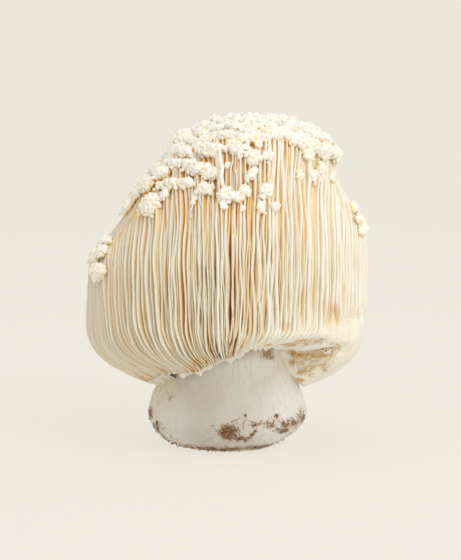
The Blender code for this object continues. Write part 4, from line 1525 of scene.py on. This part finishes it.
def make_spine_material():
    """Soft white-cream blades with painted shade that turns them tan, then orange-brown, down in the gaps
    between them.
    """
    material, tree, shader = new_material("spine flesh", 0.62, 0.2)
    fibres = use_group(tree, flesh_fibres, {"Across": 700.0, "Along": 50.0, "Depth": 1.0})
    gap = mark_of(tree, "gap")
    streak = centred(tree, fibres["Streak"], 0.3)
    # painted shade: the blades darken with depth into the gaps, browner where the gap mark is high
    deep = plus(tree, mark_of(tree, "depth"), streak)
    colour = mixed(
        tree,
        ranged(tree, gap, 0.12, 0.7),
        add_ramp(tree, deep, SPINE_PALE_SHADE_RAMP),
        add_ramp(tree, deep, SPINE_BROWN_SHADE_RAMP),
    )
    deepest_shade = times(tree, ranged(tree, gap, 0.75, 1.2), ranged(tree, deep, 0.2, 0.75))
    colour = mixed(tree, deepest_shade, colour, seen(186, 104, 10))
    # painted warm shade from the crown mark, on the blades' sides near the crown
    warm = times(tree, mark_of(tree, "crown"), ranged(tree, deep, 0.08, 0.42))
    colour = mixed(tree, warm, colour, seen(254, 200, 80))
    cloud = ranged(tree, fibres["Cloud"], 0.3, 0.7, 0.0, 0.2)
    colour = mixed(tree, cloud, colour, seen(234, 224, 204))
    # painted shade: the tone mark greys the blades, most on the cap's left side
    tone = ranged(tree, mark_of(tree, "tone"), -1.0, 1.0, 0.0, 0.9)
    tone = times(tree, tone, ranged(tree, deep, 0.7, 0.1, 0.15, 1.0))
    colour = mixed(tree, tone, colour, seen(216, 209, 193))
    bruise = ranged(tree, plus(tree, mark_of(tree, "stain"), streak), 0.25, 1.1, 0.0, 0.7)
    colour = mixed(tree, bruise, colour, seen(212, 168, 100))
    finish_surface(tree, shader, colour, fibres["Height"], 0.10)
    return material


def main_blades(heads, generator):
    """The main spines: the angles they stand at, their points and their marks."""
    turn = 2.0 * math.pi * np.arange(SPINES) / SPINES
    angle = turn - SPINES_CLOSER * np.sin(2.0 * turn) / 2.0
    top = top_of_course(angle) - generator.uniform(0.0, 0.04, SPINES)
    foot = curtain_foot(angle) + generator.uniform(0.0, 0.03, SPINES)
    chance = generator.random(SPINES)
    odd = np.arange(SPINES) % 2 == 1
    late = odd & (chance < SPINE_LATE)
    early = odd & (chance > SPINE_EARLY)
    top = np.where(late, generator.uniform(-0.3, 0.4, SPINES), top)
    foot = np.where(early, generator.uniform(-0.6, 0.1, SPINES), foot)
    foot = foot + TORN_RAGGED_ENDS * torn_share(angle) * generator.random(SPINES) ** 2
    raised = generator.uniform(*SPINE_RAISED, SPINES)
    merges = (1.0 * late, 1.0 * early)
    return angle, *make_blades(angle, top, foot, raised, 1.0, merges, heads, generator)


def inner_blades(main_angle, generator):
    """The thinner spines deep in the gaps, given as the main ones are."""
    step = 2.0 * math.pi / SPINES
    following = np.append(main_angle[1:], main_angle[0] + 2.0 * math.pi)
    angle = (main_angle + following) / 2.0 + generator.uniform(-0.2, 0.2, SPINES) * step
    share = between(INNER_SHARE, fade(np.cos(angle), 0.55, 0.85))
    angle = angle[generator.random(SPINES) < share]
    twice = np.cos(angle) > INNER_DOUBLED
    apart = INNER_APART * step / 2.0
    angle = np.sort(np.concatenate((angle[~twice], angle[twice] - apart, angle[twice] + apart)))
    count = len(angle)
    top = top_of_course(angle) - generator.uniform(0.02, 0.3, count)
    foot = np.minimum(curtain_foot(angle) + generator.uniform(0.03, 0.7, count), top - 0.3)
    raised = generator.uniform(*INNER_RAISED, count)
    raised = raised + INNER_RAISED_FRONT * fade(np.cos(angle), 0.8, 0.95)
    merges = (np.full(count, INNER_MERGED), np.full(count, INNER_MERGED))
    return angle, *make_blades(angle, top, foot, raised, INNER_EDGE, merges, (), generator)


def make_spines(heads):
    """All the curtain's spines, main and inner ones, in four sectors around the cap."""
    generator = np.random.default_rng(SPINE_SEED)
    main_angle, main_points, main_marks = main_blades(heads, generator)
    inner_angle, inner_points, inner_marks = inner_blades(main_angle, generator)
    turn = degrees_around(np.concatenate((main_angle, inner_angle)))
    points = np.concatenate((main_points, inner_points))
    material = make_spine_material()
    pieces = []
    for name, begins, ends in SPINE_SECTORS:
        inside = in_sector(turn, begins, ends)
        marks = {
            mark: np.concatenate((values, inner_marks[mark]))[inside]
            for mark, values in main_marks.items()
        }
        pieces.append(make_grid_piece("cap_spines_" + name, points[inside], marks, material))
    return pieces


spine_pieces = make_spines(heads)
for piece in spine_pieces:
    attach(piece, "root")
    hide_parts("cap")


# ---------------------------------------------------------------------------------------------
# Loose strands: a few thin spines that hang free in front of the others from single tufts, fibres
# frayed out of the torn flesh under the right side with a little soil on them, and a fringe of
# fibres that grows from the lip on to the stem's left side and clings to it.

LOOSE_STRANDS = (  # as seen from the front: (from right, up, to right, up, radius, stands out)
    (-3.3, 114.0, -1.5, 96.8, 0.80, 4.6), (1.6, 113.0, 1.2, 97.5, 0.26, 2.4),
    (3.0, 112.5, 3.2, 99.0, 0.22, 2.0), (4.8, 112.0, 4.6, 98.5, 0.30, 2.6),
    (6.4, 112.0, 6.8, 98.0, 0.22, 2.0), (8.0, 111.0, 8.0, 100.0, 0.24, 2.0),
    (12.2, 109.0, 12.6, 94.0, 0.26, 2.0), (14.0, 110.5, 14.2, 99.0, 0.22, 1.8),
    (17.2, 111.0, 17.0, 92.0, 0.26, 1.8), (21.5, 108.0, 22.0, 90.0, 0.30, 1.6),
    (-10.4, 104.0, -10.8, 92.0, 0.30, 1.8), (-14.0, 99.5, -14.2, 88.0, 0.30, 1.6),
)
STRAND_STATIONS = 6
STRAND_POINTS = 22
STRAND_SIDES = 7
FRAYED_FIBRES = 190
FRAYED_DEGREES = (33.0, 62.0)
FRAYED_PLACES = (-0.96, -0.5)
FRAYED_LENGTH = (0.03, 0.14)  # of the way from the belly to the lip
FRAYED_RADIUS = (0.07, 0.18)
FRAYED_BEND = (-0.08, 0.08)  # how far round they bend, in radians
FRAYED_LIFT = (-0.1, 0.8)  # how far their ends lift off the flesh
FRAYED_DEPTH = (0.05, 0.8)  # how deep in a gap they read, which gives them the spines' painted gap shade
FRAYED_TONE = 0.3
FRAYED_POINTS = 12
FRAYED_SIDES = 5
FRINGE_FIBRES = 190
FRINGE_DEGREES = (-100.0, -50.0)
FRINGE_LENGTH = (1.5, 8.0)
FRINGE_BEND = (-0.07, 0.07)
FRINGE_THICKER = 1.5
FRINGE_DEPTH = (0.05, 0.3)
FRINGE_TONE = -1.0
TORN_SPECKS = 70
TORN_SPECK_RADIUS = 0.17
TORN_SPECK_DEGREES = (48.0, 5.0)  # middle and spread
TORN_SPECK_PLACES = (-0.72, 0.10)


def loose_strand_lines():
    """The middle lines of the loose strands, held out from the crown's front and hanging plumb."""
    lines = []
    for number, (right, up, end_right, end_up, _, out) in enumerate(LOOSE_STRANDS):
        share = shares(STRAND_STATIONS)
        held = out * (1.0 - fade(share, 0.7, 1.0))
        found = [
            place_seen_at(right + (end_right - right) * step, up + (end_up - up) * step, 2.0 * far)
            for step, far in zip(share, held)
        ]
        point, _, _, square = cap_frame(*np.array(found).T)
        stations = point + square * held[:, None]
        line = np.array(along(stations, shares(STRAND_POINTS))).T
        sway = wobble(points_at(np.linspace(0.0, 2.2, STRAND_POINTS), number * 7.0, 0.0), 1.0)
        lines.append(line + points_at(0.25 * sway, 0.0, 0.0))
    return np.array(lines)


def frayed_lines(generator):
    """Short fibres that lie along the torn flesh and lift off it at their ends."""
    angle = np.radians(generator.uniform(*FRAYED_DEGREES, FRAYED_FIBRES))
    start = generator.uniform(*FRAYED_PLACES, FRAYED_FIBRES)
    length = generator.uniform(*FRAYED_LENGTH, FRAYED_FIBRES)
    share = shares(FRAYED_POINTS)[None, :]
    place = np.clip(start[:, None] - length[:, None] * share, -1.0, -0.4)
    bend = generator.uniform(*FRAYED_BEND, (FRAYED_FIBRES, 1))
    angles = angle[:, None] + bend * share**2
    surface = flesh_surface(angles, place)[0]
    square = cap_frame(angles, place)[3]
    lift = generator.uniform(*FRAYED_LIFT, (FRAYED_FIBRES, 1)) * share**2
    return surface + square * (0.05 + lift)[..., None]


def fringe_lines(generator):
    """Fibres that run from the lip on to the stem on the left and cling to it."""
    angle = np.radians(generator.uniform(*FRINGE_DEGREES, FRINGE_FIBRES))[:, None]
    length = generator.uniform(*FRINGE_LENGTH, (FRINGE_FIBRES, 1))
    share = shares(FRAYED_POINTS)[None, :]
    angles = angle + generator.uniform(*FRINGE_BEND, (FRINGE_FIBRES, 1)) * share
    lip = cap_frame(angle, np.full(angle.shape, -0.99))[0]
    height = lip[..., 2] - length * share
    stem_height, stem_radius = along(STEM_OUTLINE, shares(STEM_ROWS))
    clinging = stem_surface(angles, height, np.interp(height, stem_height, stem_radius))
    return lip + (clinging - lip) * fade(share, 0.0, 0.2)[..., None]


def spine_like_marks(shape, depth, gap, tone):
    """Marks that make other strands read like spines in the spines' material."""
    # depth and gap give these strands the spines' painted gap shade
    values = {"depth": depth, "gap": gap, "tone": tone, "crown": 0.0, "stain": 0.0}
    return {mark: np.broadcast_to(value, shape) for mark, value in values.items()}


def make_torn_specks(generator):
    """Dark crumbs of soil caught on the torn flesh."""
    angle = np.radians(generator.normal(*TORN_SPECK_DEGREES, TORN_SPECKS))
    place = np.clip(generator.normal(*TORN_SPECK_PLACES, TORN_SPECKS), -0.98, -0.5)
    size = TORN_SPECK_RADIUS * generator.uniform(0.5, 1.5, TORN_SPECKS) ** 1.5
    marks = {"tone": generator.random(TORN_SPECKS) * 0.5}
    material = stem_soil_crumbs.data.materials[0]
    return make_grains("cap_soil_specks", flesh_surface(angle, place)[0], size, generator, marks, material)


def taper_of(points):
    """How thick a thread is along its length: thin at both ends."""
    return 0.55 + 0.45 * np.sin(np.linspace(0.3, math.pi - 0.15, points))


strand_generator = np.random.default_rng(31)
strand_radii = np.array([row[4] for row in LOOSE_STRANDS])[:, None] * taper_of(STRAND_POINTS)
cap_loose_strands = make_tubes(
    "cap_loose_strands",
    loose_strand_lines(),
    strand_radii,
    STRAND_SIDES,
    spine_like_marks(strand_radii.shape, 0.0, 0.5, -0.8),
    spine_pieces[0].data.materials[0],
)
frayed_centres = np.concatenate((frayed_lines(strand_generator), fringe_lines(strand_generator)))
frayed_radii = strand_generator.uniform(*FRAYED_RADIUS, (len(frayed_centres), 1)) * taper_of(FRAYED_POINTS)
frayed_radii[FRAYED_FIBRES:] *= FRINGE_THICKER
frayed_tones = np.where(np.arange(len(frayed_centres)) < FRAYED_FIBRES, FRAYED_TONE, FRINGE_TONE)
frayed_depths = strand_generator.uniform(*FRAYED_DEPTH, (len(frayed_centres), 1))
frayed_depths[FRAYED_FIBRES:] = strand_generator.uniform(*FRINGE_DEPTH, (FRINGE_FIBRES, 1))
cap_frayed_fibres = make_tubes(
    "cap_frayed_fibres",
    frayed_centres,
    frayed_radii,
    FRAYED_SIDES,
    spine_like_marks(frayed_radii.shape, frayed_depths, 0.55, frayed_tones[:, None]),
    spine_pieces[0].data.materials[0],
)
cap_soil_specks = make_torn_specks(strand_generator)
for piece in (cap_loose_strands, cap_frayed_fibres, cap_soil_specks):
    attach(piece, "root")
    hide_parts("cap")


# ---------------------------------------------------------------------------------------------
# The lip: the thin skin that the spines' tips run together into all round the cap's lower edge.
# It hangs down round the stem and its edge is torn into small points. A second strip of it curls
# out over the tear under the right side.

LIP_POINTS = 1000
LIP_SECTION = 12
LIP_THICKNESS = 0.5
LIP_TOP_PLACE = -0.90
LIP_TOP_DEPTH = 2.2
LIP_HANG = 0.8
LIP_JAGS = ((0.8, 1.4), (1.4, 5.0), (0.5, 0.8))  # (how far, how wide) the edge is torn
LIP_POINTED = (  # longer points as seen from the front: (degrees round, how long, half width)
    (-35.0, 1.6, 2.2),
    (-21.0, 1.6, 2.4),
    (2.0, 1.4, 2.6),
    (11.0, 1.8, 2.2),
)
# Degrees at which the lip starts, hangs full, still hangs full and ends
LIP_ENDS = (TORN_TO - 6.0, TORN_TO + 8.0, TORN_FROM + 352.0, TORN_FROM + 365.0)
TORN_SKIN_POINTS = 240
TORN_SKIN_DEGREES = (30.0, 36.0, 46.0, 54.0)  # the same of the skin
TORN_SKIN_RAGGED = ((1.4, 9.0), (0.8, 3.0))  # (how far up and down, over how many degrees)
TORN_SKIN_HANG = 1.3
TORN_SKIN_CURL = 0.9


def make_band(name, start, middle, end, outwards, depth):
    """A thin hanging skin that bends from its start line past its middle line to its end line."""
    down = shares(LIP_SECTION // 2)[None, :, None]
    centre = (1.0 - down) ** 2 * start[:, None] + 2.0 * down * (1.0 - down) * middle[:, None]
    centre = centre + down**2 * end[:, None]
    aside = outwards[:, None] * LIP_THICKNESS / 2.0 * (1.0 - 0.75 * down)
    points = np.concatenate((centre + aside, (centre - aside)[:, ::-1]), axis=1)
    marks = spine_like_marks(points.shape[:2], depth + 0.05 * wobble(points, 5.0), 0.3, -0.6)
    marks["stain"] = 0.9 * marked(points, SPINE_STAINS)
    return make_grid_piece(name, points[None], marks, spine_pieces[0].data.materials[0])


def make_lip():
    """The lip as one long thin band, from the tear's far end round the back to its near end."""
    degrees = np.linspace(LIP_ENDS[0], LIP_ENDS[-1], LIP_POINTS)
    angle = np.radians(degrees)
    edge_point, _, _, square = cap_frame(angle, np.full(LIP_POINTS, -1.0))
    root_point, _, _, root_square = cap_frame(angle, np.full(LIP_POINTS, LIP_TOP_PLACE))
    hang = np.full(LIP_POINTS, LIP_HANG)
    for far, wide in LIP_JAGS:
        hang = hang + far * wobble(edge_point, wide)
    for at, long, half_width in LIP_POINTED:
        hang = hang + long * np.exp(-np.abs((signed_degrees(degrees) - at) / half_width) ** 1.5)
    hang = np.maximum(hang, 0.1) * plateau(degrees, *LIP_ENDS)
    outwards = outwards_at(angle)
    wave = 0.45 * wobble(edge_point, 2.4) + 0.6 * wobble(edge_point, 8.0)
    end = edge_point - outwards * (0.25 * hang - 0.5 * wave)[:, None]
    end[:, 2] -= hang
    start = root_point - root_square * LIP_TOP_DEPTH
    return make_band("cap_lip", start, edge_point - square * 0.7, end, outwards, 0.08)


def make_torn_skin():
    """The skin that curls out over the tear, where the curtain came away."""
    degrees = np.linspace(TORN_SKIN_DEGREES[0], TORN_SKIN_DEGREES[-1], TORN_SKIN_POINTS)
    angle = np.radians(degrees)
    along_it = points_at(degrees, 3.0, 0.0)
    height = TORN_HEIGHT + sum(far * wobble(along_it, wide) for far, wide in TORN_SKIN_RAGGED)
    reach = BELLY_HEIGHT - around(LIP_HEIGHTS, angle)
    hang = TORN_SKIN_HANG * (1.0 + 0.9 * wobble(points_at(degrees, 8.0, 0.0), 1.6))
    hang = np.maximum(hang, 0.2) * plateau(degrees, *TORN_SKIN_DEGREES)
    root, _, _, root_square = cap_frame(angle, -(BELLY_HEIGHT - height - 3.0) / reach)
    edge, _, _, square = cap_frame(angle, -(BELLY_HEIGHT - height) / reach)
    outwards = outwards_at(angle)
    curl = TORN_SKIN_CURL * np.maximum(wobble(points_at(degrees, 20.0, 0.0), 4.0), -0.3)
    end = edge + outwards * (curl - 0.5)[:, None]
    end[:, 2] -= hang
    start = root - root_square * 1.6
    return make_band("cap_torn_skin", start, edge - square * 0.25, end, outwards, 0.0)


for piece in (make_lip(), make_torn_skin()):
    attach(piece, "root")
    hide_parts("cap")


# ---------------------------------------------------------------------------------------------
# The studio: a plain pale floor that curves up into a backdrop all round, soft light from the
# front and upper right, and an even glow from the floor and the walls.

FLOOR_PROFILE = ((0.0, 0.0), (1.6, 0.0), (2.3, 0.12), (2.8, 0.5), (3.0, 1.2), (3.0, 3.2))
FLOOR_SIDES = 96
FLOOR_ROWS = 40
FLOOR_GLOW = 0.84
LIGHT_COLOUR = (0.97, 0.985, 1.0)
LIGHTS = (  # (name, place, size, power)
    ("key", (0.85, -1.15, 1.0), 0.8, 9.0),
    ("top", (-0.1, -0.2, 1.5), 1.2, 5.0),
)
LIGHT_AIM = Vector((0.0, 0.0, 0.07))
SKY_STRENGTH = 0.5


def make_floor():
    """The floor and backdrop as one turned sheet, in metres."""
    radius, height = along(FLOOR_PROFILE, shares(FLOOR_ROWS))
    radius = np.maximum(radius, 0.001)
    rows = outwards_at(full_turn(FLOOR_SIDES))[None] * radius[:, None, None]
    rows[..., 2] = np.maximum(height, 0.0)[:, None]
    quads, _ = grid_faces(1, *rows.shape[:2])
    settings = {
        "Base Color": seen(108, 106, 104),
        "Roughness": 0.9,
        "Specular IOR Level": 0.0,
        "Emission Color": seen(239, 233, 222),
        "Emission Strength": FLOOR_GLOW,
    }
    material = shaded("floor", settings)[0]
    floor = make_piece("floor", rows / MILLIMETRE, quads, np.empty((0, 4), int), None, {}, material)


def add_light(name, place, size, power):
    """A soft square light that shines on the mushroom."""
    light = bpy.data.lights.new(name, "AREA")
    light.shape = "SQUARE"
    light.size = size
    light.energy = power
    light.color = LIGHT_COLOUR
    holder = add_object(name, light)
    holder.location = place
    holder.rotation_euler = (LIGHT_AIM - Vector(place)).to_track_quat("-Z", "Y").to_euler()


make_floor()
for light_settings in LIGHTS:
    add_light(*light_settings)
world = bpy.data.worlds.new("studio")
world.use_nodes = True
sky = world.node_tree.nodes["Background"]
sky.inputs["Color"].default_value = (*LIGHT_COLOUR, 1.0)
sky.inputs["Strength"].default_value = SKY_STRENGTH
bpy.context.scene.world = world
bpy.context.scene.view_settings.view_transform = "Standard"
